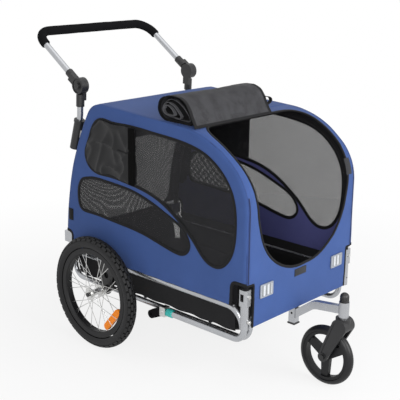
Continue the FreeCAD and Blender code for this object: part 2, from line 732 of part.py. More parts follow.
def upper_rail():
    """Right upper rail, coped to the front post."""
    rail = tube(rail_edges(), RAIL_RADIUS, TUBE_WALL)
    post = post_z(POST_RADIUS + SLIP_FIT, POST_X, -FRAME_Y, LOWER_RAIL_Z, POST_BRACKET_Z)
    pieces = rail.cut(post).Solids
    return max(pieces, key=lambda piece: piece.Volume)


def lower_rail():
    """Right lower rail, turned up at both ends: to the front cross tube and the rear bracket."""
    front_climb = FRONT_CROSS_Z - LOWER_RAIL_Z - LOWER_RAIL_BEND
    rear_climb = REAR_BRACKET_Z + REAR_BRACKET_HEIGHT / 2 - LOWER_RAIL_Z - LOWER_RAIL_BEND
    start = V(POST_X, -LOWER_RAIL_Y, FRONT_CROSS_Z)
    level = POST_X - REAR_UPRIGHT_X - 2 * LOWER_RAIL_BEND
    bend = (LOWER_RAIL_BEND, -RIGHT_ANGLE)
    edges = walk(start, DOWN_ANGLE, (front_climb, bend, level, bend, rear_climb))
    rail = tube(edges, LOWER_RAIL_RADIUS, TUBE_WALL)
    return rail.cut(bar_y(CROSS_RADIUS + SLIP_FIT, POST_X, FRONT_CROSS_Z, -FRAME_Y, FRAME_Y))


def front_post():
    """Right front post: round socket below, folded U-bracket with a notch for the hoop above."""
    low = post_z(POST_RADIUS, POST_X, -FRAME_Y, POST_BOTTOM_Z, POST_BRACKET_Z + POST_BRACKET_WALL)
    half = POST_BRACKET_WIDTH / 2
    upper = block(
        POST_X - half, POST_X + half, -FRAME_Y - half, -FRAME_Y + half,
        POST_BRACKET_Z, POST_BRACKET_TOP_Z)
    upright = [edge for edge in upper.Edges if edge.BoundBox.ZLength > POST_BRACKET_WIDTH]
    upper = upper.makeFillet(half / 2, upright)
    post = low.fuse(upper)
    post = post.cut(post_z(
        TOW_RADIUS + SLIP_FIT, POST_X, -FRAME_Y, POST_BOTTOM_Z - CUT_OVERRUN, POST_BRACKET_Z))
    post = post.cut(post_z(
        HOOP_RADIUS + SLIP_FIT, POST_X, -FRAME_Y,
        POST_BRACKET_Z + POST_BRACKET_WALL, POST_BRACKET_TOP_Z + CUT_OVERRUN))
    notch_top = POST_BRACKET_TOP_Z - POST_NOTCH_WIDTH
    notch = block(
        POST_X - POST_NOTCH_WIDTH / 2, POST_X + POST_NOTCH_WIDTH / 2,
        -FRAME_Y - POST_BRACKET_WIDTH, -FRAME_Y, notch_top - POST_NOTCH_HEIGHT, notch_top)
    post = post.cut(notch)
    post = post.cut(hoop_bolt_bore())
    return post.cut(Part.makeCylinder(
        LOCK_PIN_RADIUS + SLIP_FIT, POST_RADIUS + CUT_OVERRUN, V(POST_X, -FRAME_Y, LOCK_PIN_Z), X_AXIS))


HOOP_BOLT_Z = (HOOP_FOOT_Z + POST_BRACKET_TOP_Z) / 2


def hoop_bolt_bore():
    reach = POST_BRACKET_WIDTH + 2 * CUT_OVERRUN
    return Part.makeCylinder(
        HOOP_BOLT_RADIUS + SLIP_FIT, reach, V(POST_X - reach / 2, -FRAME_Y, HOOP_BOLT_Z), X_AXIS)


def hoop_bolt():
    """Pivot bolt that holds the right hoop's foot in the front post."""
    half = POST_BRACKET_WIDTH / 2
    shank = Part.makeCylinder(
        HOOP_BOLT_RADIUS, 2 * half, V(POST_X - half, -FRAME_Y, HOOP_BOLT_Z), X_AXIS)
    bolt = shank
    for place, direction in ((POST_X - half, -X_AXIS), (POST_X + half, X_AXIS)):
        head = Part.makeCylinder(
            HOOP_BOLT_HEAD_RADIUS, HOOP_BOLT_HEAD, V(place, -FRAME_Y, HOOP_BOLT_Z), direction)
        bolt = bolt.fuse(head)
    return bolt


def rear_bracket():
    """Right rear bracket: a clamp with one bore for the hoop and rail, one for the lower rail."""
    wall = REAR_BRACKET_WALL
    top = REAR_BRACKET_Z + REAR_BRACKET_HEIGHT
    x_low = min(HOOP_REAR_X - RAIL_RADIUS, REAR_UPRIGHT_X - LOWER_RAIL_RADIUS) - wall
    x_high = max(HOOP_REAR_X + RAIL_RADIUS, REAR_UPRIGHT_X + LOWER_RAIL_RADIUS) + wall
    clamp = block(
        x_low, x_high, -FRAME_Y - RAIL_RADIUS - wall / 2, -LOWER_RAIL_Y + LOWER_RAIL_RADIUS + wall,
        REAR_BRACKET_Z, top)
    upright = [edge for edge in clamp.Edges if edge.BoundBox.ZLength > wall]
    clamp = clamp.makeFillet(wall, upright)
    middle = REAR_BRACKET_Z + REAR_BRACKET_HEIGHT / 2
    clamp = clamp.cut(post_z(
        RAIL_RADIUS + SLIP_FIT, HOOP_REAR_X, -FRAME_Y, REAR_BRACKET_Z - CUT_OVERRUN, middle))
    clamp = clamp.cut(sweep(hoop_edges(), HOOP_RADIUS + SLIP_FIT))
    return clamp.cut(post_z(
        LOWER_RAIL_RADIUS + SLIP_FIT, REAR_UPRIGHT_X, -LOWER_RAIL_Y,
        REAR_BRACKET_Z - CUT_OVERRUN, middle + SLIP_FIT))


def axle_bracket():
    """Right axle bracket: a plate coped under the upper rail, with the axle's receiver boss."""
    outer = -FRAME_Y - RAIL_RADIUS
    inner = outer + AXLE_PLATE_THICKNESS
    half = AXLE_PLATE_TOP_WIDTH / 2
    foot = AXLE_PLATE_FOOT_RADIUS
    edges = [
        Part.Arc(V(-foot, 0, TYRE_RADIUS), V(0, 0, TYRE_RADIUS - foot), V(foot, 0, TYRE_RADIUS)).toShape(),
        Part.LineSegment(V(foot, 0, TYRE_RADIUS), V(half, 0, RAIL_Z)).toShape(),
        Part.LineSegment(V(half, 0, RAIL_Z), V(-half, 0, RAIL_Z)).toShape(),
        Part.LineSegment(V(-half, 0, RAIL_Z), V(-foot, 0, TYRE_RADIUS)).toShape(),
    ]
    plate = slab(edges, outer, inner)
    window_z = (TYRE_RADIUS + RAIL_Z) / 2
    plate = plate.cut(bar_y(foot / 2, 0, window_z, outer - CUT_OVERRUN, inner + CUT_OVERRUN))
    boss = bar_y(AXLE_BOSS_RADIUS, 0, TYRE_RADIUS, outer - AXLE_PLATE_THICKNESS, AXLE_BOSS_INNER_Y)
    bracket = plate.fuse(boss)
    bracket = bracket.cut(Part.makeCylinder(
        RAIL_RADIUS + SLIP_FIT, AXLE_PLATE_TOP_WIDTH * 2, V(-AXLE_PLATE_TOP_WIDTH, -FRAME_Y, RAIL_Z), X_AXIS))
    bracket = max(bracket.Solids, key=lambda piece: piece.Volume)
    return bracket.cut(bar_y(
        AXLE_RADIUS + SLIP_FIT, 0, TYRE_RADIUS, outer - 2 * CUT_OVERRUN, AXLE_BOSS_INNER_Y - CUT_OVERRUN))


AXLE_BOSS_INNER_Y = -LOWER_RAIL_Y - LOWER_RAIL_RADIUS - SEAT_GAP
AXLE_BOSS_OUTER_Y = -FRAME_Y - RAIL_RADIUS - AXLE_PLATE_THICKNESS
FLOOR_CROSS_Z = LOWER_RAIL_Z + LOWER_RAIL_RADIUS + CROSS_RADIUS + SEAT_GAP
FLOOR_Z = FLOOR_CROSS_Z + CROSS_RADIUS + SEAT_GAP


def cross_tubes():
    """Tubes across the base: one between the front posts, one at the back, three under the floor."""
    between_posts = FRAME_Y - POST_RADIUS - SEAT_GAP
    between_uprights = LOWER_RAIL_Y - LOWER_RAIL_RADIUS - SEAT_GAP
    tubes = [
        pipe_y(CROSS_RADIUS, TUBE_WALL, POST_X, FRONT_CROSS_Z, -between_posts, between_posts),
        pipe_y(CROSS_RADIUS, TUBE_WALL, REAR_UPRIGHT_X, REAR_CROSS_Z, -between_uprights, between_uprights),
    ]
    for share in FLOOR_CROSS_SHARES:
        place = FLOOR_REAR_X + FLOOR_LENGTH * share
        tubes.append(pipe_y(CROSS_RADIUS, TUBE_WALL, place, FLOOR_CROSS_Z, -LOWER_RAIL_Y, LOWER_RAIL_Y))
    return tubes


def roof_bars():
    """Cross bars that keep the hoops apart, at the brow and at the rear top corner."""
    half = FRAME_Y - HOOP_RADIUS - SEAT_GAP
    edges = hoop_edges()
    places = (end_of(edges[0:3]), end_of(edges[0:5]))
    return group([pipe_y(ROOF_BAR_RADIUS, TUBE_WALL, place.x, place.z, -half, half) for place in places])


def floor_board():
    """Stiff floor on the cross tubes, with rounded corners."""
    board = block(
        FLOOR_REAR_X, FLOOR_FRONT_X, -FLOOR_HALF_WIDTH, FLOOR_HALF_WIDTH, FLOOR_Z, FLOOR_Z + FLOOR_THICKNESS)
    upright = [edge for edge in board.Edges if edge.BoundBox.ZLength > FLOOR_THICKNESS / 2]
    return board.makeFillet(FLOOR_CORNER, upright)


def skirt():
    """Black cloth that closes the gap between the upper rail and the floor, right side."""
    sheet = block(
        FLOOR_REAR_X + SKIRT_REAR_GAP, POST_X - POST_RADIUS - SKIRT_FRONT_GAP,
        -FRAME_Y - CLOTH / 2, -FRAME_Y + CLOTH / 2, FLOOR_Z + SKIRT_RISE, RAIL_Z)
    pieces = sheet.cut(sweep(rail_edges(), RAIL_RADIUS + SEAT_GAP)).Solids
    return max(pieces, key=lambda piece: piece.Volume)


# Road wheel, drawn about the Y axis at the origin
def wheel_tyre():
    section_radius = TYRE_WIDTH / 2
    centre = V(TYRE_RADIUS - section_radius, 0, 0)
    outer = Part.Face(Part.Wire(Part.makeCircle(section_radius, centre)))
    inner = Part.Face(Part.Wire(Part.makeCircle(section_radius - TYRE_WALL, centre)))
    bead = ring_section(RIM_INNER_RADIUS, RIM_TOP_RADIUS + SEAT_GAP, TYRE_WIDTH)
    return turned(outer.cut(inner).cut(bead).Faces[0])


def wheel_rim():
    half = RIM_WIDTH / 2
    channel = ring_section(RIM_INNER_RADIUS, RIM_TOP_RADIUS, half)
    well = ring_section(RIM_INNER_RADIUS + RIM_WALL, RIM_TOP_RADIUS + CUT_OVERRUN, half - RIM_WALL)
    rim = turned(channel.cut(well).Faces[0])
    inner_edges = [edge for edge in rim.Edges
                   if edge.Length < 2 * math.pi * (RIM_INNER_RADIUS + RIM_WALL / 2)
                   and edge.Length > 2 * math.pi * (RIM_INNER_RADIUS - RIM_WALL)]
    return rim.makeChamfer(RIM_WALL * RIM_CHAMFER_SHARE, inner_edges)


def hub_outline():
    """Half section of the hub: end collars, two spoke flanges and a waisted barrel."""
    flange = HUB_FLANGE_OFFSET
    edge = HUB_FLANGE_THICKNESS / 2
    bore = AXLE_RADIUS + SLIP_FIT
    right = [
        V(bore, HUB_HALF_LENGTH, 0), V(HUB_END_RADIUS, HUB_HALF_LENGTH, 0),
        V(HUB_END_RADIUS, flange + edge, 0), V(HUB_FLANGE_RADIUS, flange + edge, 0),
        V(HUB_FLANGE_RADIUS, flange - edge, 0), V(HUB_END_RADIUS, flange - edge, 0),
        V(HUB_BARREL_RADIUS, flange / 2, 0),
    ]
    left = [V(point.x, -point.y, 0) for point in reversed(right)]
    return Part.Face(Part.makePolygon(right + left + right[:1]))


def spoke_lines():
    """End points of every spoke: crossed in pairs, from flange edge to rim."""
    lines = []
    pitch = FULL_ANGLE / SPOKES_PER_FLANGE
    hub_radius = HUB_FLANGE_RADIUS + SPOKE_RADIUS
    rim_radius = RIM_INNER_RADIUS - SPOKE_RADIUS / 2
    for side in (-1, 1):
        for index in range(SPOKES_PER_FLANGE):
            hub_angle = pitch * (index + (side + 1) / 4)
            lean = SPOKE_LEAN_ANGLE if index % 2 else -SPOKE_LEAN_ANGLE
            start = polar(hub_angle) * hub_radius + V(0, side * HUB_FLANGE_OFFSET, 0)
            end = polar(hub_angle + lean) * rim_radius + V(0, side * SPOKE_RIM_OFFSET, 0)
            lines.append((start, end))
    return lines


def spoke_bars(radius):
    return [Part.makeCylinder(radius, (end - start).Length, start, end - start)
            for start, end in spoke_lines()]


def spoke_reflector():
    """Long amber reflector clipped between the spokes."""
    half = REFLECTOR_HALF_SPAN
    across = polar(REFLECTOR_ANGLE + 90)
    middle = polar(REFLECTOR_ANGLE) * REFLECTOR_ORBIT
    outline = tapered_slot(
        middle - across * half, REFLECTOR_WIDTH / 2, middle + across * half, REFLECTOR_WIDTH / 2)
    body = slab(outline, -REFLECTOR_THICKNESS / 2, REFLECTOR_THICKNESS / 2)
    body = body.cut(group(spoke_bars(SPOKE_RADIUS + SEAT_GAP)))
    return max(body.Solids, key=lambda piece: piece.Volume)


AXLE_OUTER = HUB_HALF_LENGTH + SEAT_GAP


def wheel_axle():
    """Fixed axle pin: pushed into the receiver boss, with a collar at the hub and a button bore."""
    inner = WHEEL_Y + AXLE_BOSS_INNER_Y - CUT_OVERRUN
    pin = Part.makeCylinder(AXLE_RADIUS, inner + AXLE_OUTER, V(0, -AXLE_OUTER, 0), Y_AXIS)
    collar_start = HUB_HALF_LENGTH + SEAT_GAP
    collar_end = WHEEL_Y + AXLE_BOSS_OUTER_Y - SEAT_GAP
    collar = Part.makeCylinder(
        AXLE_COLLAR_RADIUS, collar_end - collar_start, V(0, collar_start, 0), Y_AXIS)
    bore = Part.makeCylinder(
        AXLE_BUTTON_STEM_RADIUS + SLIP_FIT,
        AXLE_BUTTON_STEM_LENGTH + AXLE_BUTTON_TRAVEL + CUT_OVERRUN,
        V(0, -AXLE_OUTER - CUT_OVERRUN, 0), Y_AXIS)
    return pin.fuse(collar).cut(bore)


def axle_button():
    """Quick-release button: domed head on a stem that slides in the axle."""
    head_inner = -AXLE_OUTER - AXLE_BUTTON_TRAVEL - SEAT_GAP
    head = Part.makeCylinder(
        AXLE_BUTTON_RADIUS, AXLE_BUTTON_THICKNESS, V(0, head_inner - AXLE_BUTTON_THICKNESS, 0), Y_AXIS)
    middle = head_inner - AXLE_BUTTON_THICKNESS / 2
    rim = [edge for edge in head.Edges if edge.BoundBox.YMax < middle and edge.Length > AXLE_BUTTON_RADIUS]
    head = head.makeFillet(AXLE_BUTTON_THICKNESS / 2, rim)
    stem = Part.makeCylinder(
        AXLE_BUTTON_STEM_RADIUS, AXLE_BUTTON_STEM_LENGTH, V(0, head_inner, 0), Y_AXIS)
    return head.fuse(stem)


def place_wheel(shape):
    placed = shape.copy()
    placed.translate(V(0, -WHEEL_Y, TYRE_RADIUS))
    return placed


# Caster
def caster_leg():
    """Square leg under the front cross tube, with its cross hole."""
    half = LEG_WIDTH / 2
    leg = block(LEG_X - half, LEG_X + half, -half, half, LEG_BOTTOM_Z, FRONT_CROSS_Z)
    inside = half - LEG_WALL
    leg = leg.cut(block(
        LEG_X - inside, LEG_X + inside, -inside, inside,
        LEG_BOTTOM_Z - CUT_OVERRUN, FRONT_CROSS_Z + CUT_OVERRUN))
    leg = leg.cut(bar_y(CROSS_RADIUS + SLIP_FIT, POST_X, FRONT_CROSS_Z, -LEG_WIDTH, LEG_WIDTH))
    return leg.cut(bar_y(LEG_HOLE_RADIUS, LEG_X, LEG_HOLE_Z, -LEG_WIDTH, LEG_WIDTH))


def leg_foot_cap():
    """Black cap on the foot of the leg, with a plug inside the tube."""
    half = LEG_WIDTH / 2 + FOOT_CAP_LIP
    cap = block(
        LEG_X - half, LEG_X + half, -half, half, LEG_BOTTOM_Z - FOOT_CAP_HEIGHT, LEG_BOTTOM_Z)
    bottom = [edge for edge in cap.Edges if edge.BoundBox.ZMax < LEG_BOTTOM_Z - FOOT_CAP_HEIGHT / 2]
    cap = cap.makeChamfer(FOOT_CAP_LIP, bottom)
    plug = LEG_WIDTH / 2 - LEG_WALL - SLIP_FIT
    return cap.fuse(block(
        LEG_X - plug, LEG_X + plug, -plug, plug, LEG_BOTTOM_Z, LEG_BOTTOM_Z + FOOT_CAP_HEIGHT))


def arm_slab(half_height, half_width, x_from, x_to):
    """Bent bar along the caster arm's centre line, cut off at two X planes."""
    start = V(LEG_X, 0, ARM_START_Z)
    bend = V(ARM_BEND_X, 0, ARM_BEND_Z)
    end = V(HEAD_X, 0, ARM_END_Z)
    rise = bend - start
    first = math.degrees(math.atan2(rise.z, rise.x))
    second = math.degrees(math.atan2((end - bend).z, (end - bend).x))
    turn = second - first
    trim = ARM_BEND_RADIUS * math.tan(math.radians(abs(turn) / 2))
    walls = []
    for side in (-1, 1):
        radius = ARM_BEND_RADIUS + side * half_height
        foot = start + polar(first + RIGHT_ANGLE) * half_height * side
        walls.append(walk(foot, first, (rise.Length - trim, (radius, turn), (end - bend).Length - trim)))
    caps = [
        Part.LineSegment(walls[0][0].valueAt(walls[0][0].FirstParameter),
                         walls[1][0].valueAt(walls[1][0].FirstParameter)).toShape(),
        Part.LineSegment(end_of(walls[0]), end_of(walls[1])).toShape(),
    ]
    bar = slab(walls[0] + walls[1] + caps, -half_width, half_width)
    return bar.common(block(x_from, x_to, -half_width, half_width, LEG_BOTTOM_Z, HEAD_TOP_Z))


def caster_arm():
    """Bent rectangular tube from the leg to the swivel head, with the head tube welded on."""
    leg_face = LEG_X + LEG_WIDTH / 2
    arm = arm_slab(ARM_HEIGHT / 2, ARM_WIDTH / 2, leg_face, HEAD_X)
    hollow = arm_slab(ARM_HEIGHT / 2 - ARM_WALL, ARM_WIDTH / 2 - ARM_WALL, leg_face, HEAD_X)
    head = post_z(HEAD_RADIUS, HEAD_X, 0, HEAD_BOTTOM_Z, HEAD_TOP_Z)
    arm = arm.cut(hollow).fuse(head)
    arm = arm.cut(post_z(STEM_RADIUS + SLIP_FIT, HEAD_X, 0, HEAD_BOTTOM_Z - CUT_OVERRUN, STEM_TOP_Z))
    return arm.cut(post_z(
        KNOB_PIN_RADIUS + SLIP_FIT, HEAD_X, 0, STEM_TOP_Z - CUT_OVERRUN, HEAD_TOP_Z + CUT_OVERRUN))


STEM_TOP_Z = HEAD_TOP_Z - KNOB_PIN_LENGTH


def lock_knob():
    """Ribbed dome knob on the swivel head: pulled up to free the caster."""
    foot = HEAD_TOP_Z + SEAT_GAP
    shoulder = foot + KNOB_HEIGHT - KNOB_RADIUS
    wall = [
        Part.LineSegment(V(0, 0, foot), V(KNOB_RADIUS, 0, foot)).toShape(),
        Part.LineSegment(V(KNOB_RADIUS, 0, foot), V(KNOB_RADIUS, 0, shoulder)).toShape(),
        Part.Arc(
            V(KNOB_RADIUS, 0, shoulder), V(0, 0, shoulder) + polar(RIGHT_ANGLE / 2) * KNOB_RADIUS,
            V(0, 0, shoulder + KNOB_RADIUS)).toShape(),
        Part.LineSegment(V(0, 0, shoulder + KNOB_RADIUS), V(0, 0, foot)).toShape(),
    ]
    dome = Part.Face(Part.Wire(wall)).revolve(ORIGIN, Z_AXIS, FULL_ANGLE)
    pitch = (shoulder - foot) / KNOB_GROOVE_COUNT
    for index in range(KNOB_GROOVE_COUNT):
        groove = Part.makeTorus(KNOB_RADIUS, KNOB_GROOVE, V(0, 0, foot + pitch * index + pitch / 2))
        dome = dome.cut(groove)
    pin = Part.makeCylinder(KNOB_PIN_RADIUS, KNOB_PIN_LENGTH + SEAT_GAP - SLIP_FIT, V(0, 0, foot), -Z_AXIS)
    knob = dome.fuse(pin)
    knob.translate(V(HEAD_X, 0, 0))
    return knob


def fork_outline(margin):
    crown = V(HEAD_X, 0, FORK_CROWN_Z)
    axle = V(CASTER_AXLE_X, 0, CASTER_RADIUS)
    return tapered_slot(crown, FORK_CROWN_RADIUS - margin, axle, FORK_FOOT_RADIUS - margin)


def caster_fork():
    """Moulded fork: crown and swivel stem, and two tapered blades with a recess in each."""
    half = FORK_INNER_WIDTH / 2
    outer = half + FORK_BLADE
    whole = slab(fork_outline(0), -outer, outer)
    wheel_room = block(
        CASTER_AXLE_X - CASTER_RADIUS, HEAD_X + FORK_CROWN_RADIUS * 2, -half, half,
        0, FORK_CROWN_Z - FORK_CROWN_DEPTH)
    fork = whole.cut(wheel_room)
    for y_from, y_to in ((-outer, -outer + FORK_RECESS), (outer - FORK_RECESS, outer)):
        recess = slab(fork_outline(FORK_RECESS_MARGIN), y_from, y_to)
        boss = bar_y(FORK_FOOT_RADIUS - FORK_RECESS_MARGIN / 2, CASTER_AXLE_X, CASTER_RADIUS, y_from, y_to)
        fork = fork.cut(recess.cut(boss))
    collar = post_z(FORK_CROWN_RADIUS - FORK_RECESS, HEAD_X, 0, FORK_CROWN_Z, HEAD_BOTTOM_Z - SEAT_GAP)
    stem = post_z(STEM_RADIUS, HEAD_X, 0, FORK_CROWN_Z, STEM_TOP_Z - SEAT_GAP)
    fork = fork.fuse(collar).fuse(stem)
    return fork.cut(bar_y(
        CASTER_BOLT_RADIUS + SLIP_FIT, CASTER_AXLE_X, CASTER_RADIUS,
        -outer - CUT_OVERRUN, outer + CUT_OVERRUN))


CASTER_RIM_RADIUS = CASTER_RADIUS - CASTER_TYRE_DEPTH


def caster_tyre():
    """Solid tyre with rounded shoulders."""
    half = CASTER_TYRE_WIDTH / 2
    bead = CASTER_RIM_RADIUS + SLIP_FIT
    waist = CASTER_RADIUS - half
    foot = half * CASTER_BEAD_SHARE
    edges = [
        Part.LineSegment(V(bead, -foot, 0), V(waist, -half, 0)).toShape(),
        Part.Arc(V(waist, -half, 0), V(CASTER_RADIUS, 0, 0), V(waist, half, 0)).toShape(),
        Part.LineSegment(V(waist, half, 0), V(bead, foot, 0)).toShape(),
        Part.LineSegment(V(bead, foot, 0), V(bead, -foot, 0)).toShape(),
    ]
    return turned(Part.Face(Part.Wire(edges)))


def caster_core():
    """Moulded wheel: hub, three broad tapered spokes and the rim that carries the tyre."""
    half = CASTER_TYRE_WIDTH / 2 * CASTER_BEAD_SHARE
    rim = turned(ring_section(CASTER_RIM_RADIUS - CASTER_RIM_DEPTH, CASTER_RIM_RADIUS, half))
    hub_half = FORK_INNER_WIDTH / 2 - SEAT_GAP
    core = rim.fuse(Part.makeCylinder(CASTER_HUB_RADIUS, 2 * hub_half, V(0, -hub_half, 0), Y_AXIS))
    inner = CASTER_SPOKE_WIDTH / 2
    outer = inner * CASTER_SPOKE_TAPER_SHARE
    reach = CASTER_RIM_RADIUS - CASTER_RIM_DEPTH / 2
    thick = CASTER_SPOKE_THICKNESS / 2
    for index in range(CASTER_SPOKE_COUNT):
        outline = Part.makePolygon([
            V(0, 0, -inner), V(reach, 0, -outer), V(reach, 0, outer), V(0, 0, inner), V(0, 0, -inner)])
        spoke = slab(outline.Edges, -thick, thick)
        spoke.rotate(ORIGIN, Y_AXIS, FULL_ANGLE / CASTER_SPOKE_COUNT * index + RIGHT_ANGLE)
        core = core.fuse(spoke)
    return core.cut(bar_y(CASTER_BOLT_RADIUS + SLIP_FIT, 0, 0, -FORK_INNER_WIDTH, FORK_INNER_WIDTH))


def caster_bolt():
    """Axle bolt through the fork blades, with a round head at each end."""
    outer = FORK_INNER_WIDTH / 2 + FORK_BLADE
    bolt = bar_y(CASTER_BOLT_RADIUS, 0, 0, -outer, outer)
    for y_from, y_to in ((-outer - CASTER_BOLT_HEAD, -outer), (outer, outer + CASTER_BOLT_HEAD)):
        bolt = bolt.fuse(bar_y(CASTER_BOLT_HEAD_RADIUS, 0, 0, y_from, y_to))
    return bolt


def place_caster(shape):
    placed = shape.copy()
    placed.translate(V(CASTER_AXLE_X, 0, CASTER_RADIUS))
    return placed


# Push handle
HINGE_CENTRE = V(HINGE_X, -FRAME_Y, HINGE_Z)


def lower_edges(start_reach):
    """Path of the right lower handle tube, from the hinge down into its sleeve."""
    start = HINGE_CENTRE + polar(LOWER_ANGLE) * start_reach
    straight = SOCKET_END + LOWER_STRAIGHT / 2 - start_reach
    return walk(start, LOWER_ANGLE, (straight, (LOWER_BEND, LOWER_BEND_ANGLE), LOWER_TAIL))


def stay_line():
    """Place on the hoop and place on the sleeve that the handle stay joins."""
    foot = end_of(lower_edges(SOCKET_START))
    on_sleeve = foot - polar(LOWER_ANGLE + LOWER_BEND_ANGLE) * STAY_RISE
    rear_arc = hoop_edges()[6]
    level = Part.LineSegment(on_sleeve, on_sleeve + X_AXIS * PANEL_LENGTH).toShape()
    on_hoop = level.distToShape(rear_arc)[1][0][0]
    return on_sleeve, on_hoop


def hinge_half(angle, y_from, y_to):
    """One half of a handle hinge: a ribbed disc, and a socket for the tube that it carries."""
    disc = bar_y(HINGE_RADIUS, HINGE_X, HINGE_Z, y_from, y_to)
    along = polar(angle)
    neck = block(0, SOCKET_END - SOCKET_NECK, y_from, y_to, -SOCKET_RADIUS, SOCKET_RADIUS)
    neck.rotate(ORIGIN, Y_AXIS, -angle)
    neck.translate(V(HINGE_X, 0, HINGE_Z))
    socket = Part.makeCylinder(
        SOCKET_RADIUS, SOCKET_END - SOCKET_START, HINGE_CENTRE + along * SOCKET_START, along)
    lip = [edge for edge in socket.Edges
           if (edge.CenterOfMass - HINGE_CENTRE).Length > SOCKET_END - SLIP_FIT and edge.Closed]
    socket = socket.makeFillet(SOCKET_RADIUS - HANDLE_RADIUS - TUBE_WALL, lip)
    half = disc.fuse(neck).fuse(socket)
    bore_start = SOCKET_START + HINGE_RIM_WIDTH
    return half.cut(Part.makeCylinder(
        HANDLE_RADIUS + SLIP_FIT, SOCKET_END, HINGE_CENTRE + along * bore_start, along))


def lower_hinge():
    """Fixed half of the right hinge, on the inner side, with the pivot pin."""
    y_from = -FRAME_Y + HINGE_GAP / 2
    half = hinge_half(LOWER_ANGLE, y_from, -FRAME_Y + HINGE_HALF)
    pin = bar_y(HINGE_PIN_RADIUS, HINGE_X, HINGE_Z, y_from - HINGE_PIN_DEPTH, y_from + HINGE_HALF / 2)
    return half.fuse(pin)


HINGE_PIN_DEPTH = HINGE_HALF - HINGE_BUTTON_DEPTH - HINGE_RIM_DEPTH


def upper_hinge():
    """Turning half of the right hinge, on the outer side, with a raised rim round its button."""
    y_out = -FRAME_Y - HINGE_HALF
    y_in = -FRAME_Y - HINGE_GAP / 2
    half = hinge_half(HANDLE_ANGLE, y_out, y_in)
    floor = y_out + HINGE_RIM_DEPTH
    groove = bar_y(HINGE_RADIUS - HINGE_RIM_WIDTH, HINGE_X, HINGE_Z, y_out, floor)
    groove = groove.cut(bar_y(HINGE_BUTTON_RADIUS + HINGE_RIM_WIDTH, HINGE_X, HINGE_Z, y_out, floor))
    half = half.cut(groove)
    half = half.cut(bar_y(
        HINGE_BUTTON_RADIUS + SLIP_FIT, HINGE_X, HINGE_Z, y_out - CUT_OVERRUN, y_out + HINGE_BUTTON_DEPTH))
    return half.cut(bar_y(
        HINGE_PIN_RADIUS + SLIP_FIT, HINGE_X, HINGE_Z, y_in - HINGE_PIN_DEPTH - SEAT_GAP, y_in + CUT_OVERRUN))


def hinge_button():
    """Round release button in the outer face of the right hinge."""
    y_out = -FRAME_Y - HINGE_HALF - HINGE_BUTTON_PROUD
    y_in = -FRAME_Y - HINGE_HALF + HINGE_BUTTON_DEPTH - HINGE_BUTTON_TRAVEL - SEAT_GAP
    button = bar_y(HINGE_BUTTON_RADIUS, HINGE_X, HINGE_Z, y_out, y_in)
    rim = [edge for edge in button.Edges if edge.BoundBox.YMax < y_out + SLIP_FIT]
    return button.makeFillet(HINGE_BUTTON_PROUD / 3, rim)


def lower_tube():
    return tube(lower_edges(SOCKET_START + HINGE_RIM_WIDTH + SEAT_GAP), HANDLE_RADIUS, TUBE_WALL)


def handle_sleeve():
    """Black sleeve on the foot of the right lower tube, with a flared mouth."""
    edges = lower_edges(SOCKET_START)
    along = polar(LOWER_ANGLE + LOWER_BEND_ANGLE)
    foot = end_of(edges)
    top = foot - along * SLEEVE_LENGTH
    body = Part.makeCylinder(SLEEVE_RADIUS, SLEEVE_LENGTH, top, along)
    mouth = Part.makeCylinder(SLEEVE_RADIUS + SLEEVE_FLARE, SLEEVE_FLARE_LENGTH, top, along)
    sleeve = body.fuse(mouth)
    return sleeve.cut(Part.makeCylinder(HANDLE_RADIUS + SLIP_FIT, SLEEVE_LENGTH, top, along))


def handle_stay():
    """Steel lug that carries the right sleeve on the hoop, through the back cover."""
    on_sleeve, on_hoop = stay_line()
    half = STAY_HEIGHT / 2
    lug = block(
        on_sleeve.x, on_hoop.x, -FRAME_Y - STAY_THICKNESS / 2, -FRAME_Y + STAY_THICKNESS / 2,
        on_sleeve.z - half, on_sleeve.z + half)
    lug = lug.cut(sweep(hoop_edges(), HOOP_RADIUS + SLIP_FIT))
    edges = lower_edges(SOCKET_START)
    along = polar(LOWER_ANGLE + LOWER_BEND_ANGLE)
    lug = lug.cut(Part.makeCylinder(
        SLEEVE_RADIUS + SLIP_FIT, SLEEVE_LENGTH, end_of(edges) - along * SLEEVE_LENGTH, along))
    middle = (on_sleeve + on_hoop) / 2
    return min(lug.Solids, key=lambda piece: (piece.CenterOfMass - middle).Length)


def handle_edges(leg_start):
    """Path of the U-shaped bar, from the right hinge round the top to the left hinge."""
    along = polar(HANDLE_ANGLE)
    right = HINGE_CENTRE
    left = V(right.x, -right.y, right.z)
    straight = HANDLE_REACH - HANDLE_BEND
    inner = HANDLE_BEND * (1 - math.sqrt(0.5))
    rise = right + along * straight
    over = right + along * HANDLE_REACH + Y_AXIS * HANDLE_BEND
    middle = right + along * (HANDLE_REACH - inner) + Y_AXIS * inner
    mirrored = [V(point.x, -point.y, point.z) for point in (rise, middle, over)]
    return [
        Part.LineSegment(right + along * leg_start, rise).toShape(),
        Part.Arc(rise, middle, over).toShape(),
        Part.LineSegment(over, mirrored[2]).toShape(),
        Part.Arc(mirrored[2], mirrored[1], mirrored[0]).toShape(),
        Part.LineSegment(mirrored[0], left + along * leg_start).toShape(),
    ]


def handle_bar():
    return tube(handle_edges(SOCKET_START + HINGE_RIM_WIDTH + SEAT_GAP), HANDLE_RADIUS, TUBE_WALL)


def handle_grip():
    """Foam grip over the top of the bar and both of its bends."""
    edges = handle_edges(GRIP_START)
    return sweep(edges, GRIP_RADIUS).cut(sweep(edges, HANDLE_RADIUS + SLIP_FIT))


# Tow bar
def tow_edges():
    start = V(POST_X, -FRAME_Y, TOW_STEM_TOP_Z)
    run = POST_X - TOW_BEND - TOW_END_X
    return walk(
        start, DOWN_ANGLE, (TOW_STEM_TOP_Z - TOW_Z - TOW_BEND, (TOW_BEND, -RIGHT_ANGLE), run))


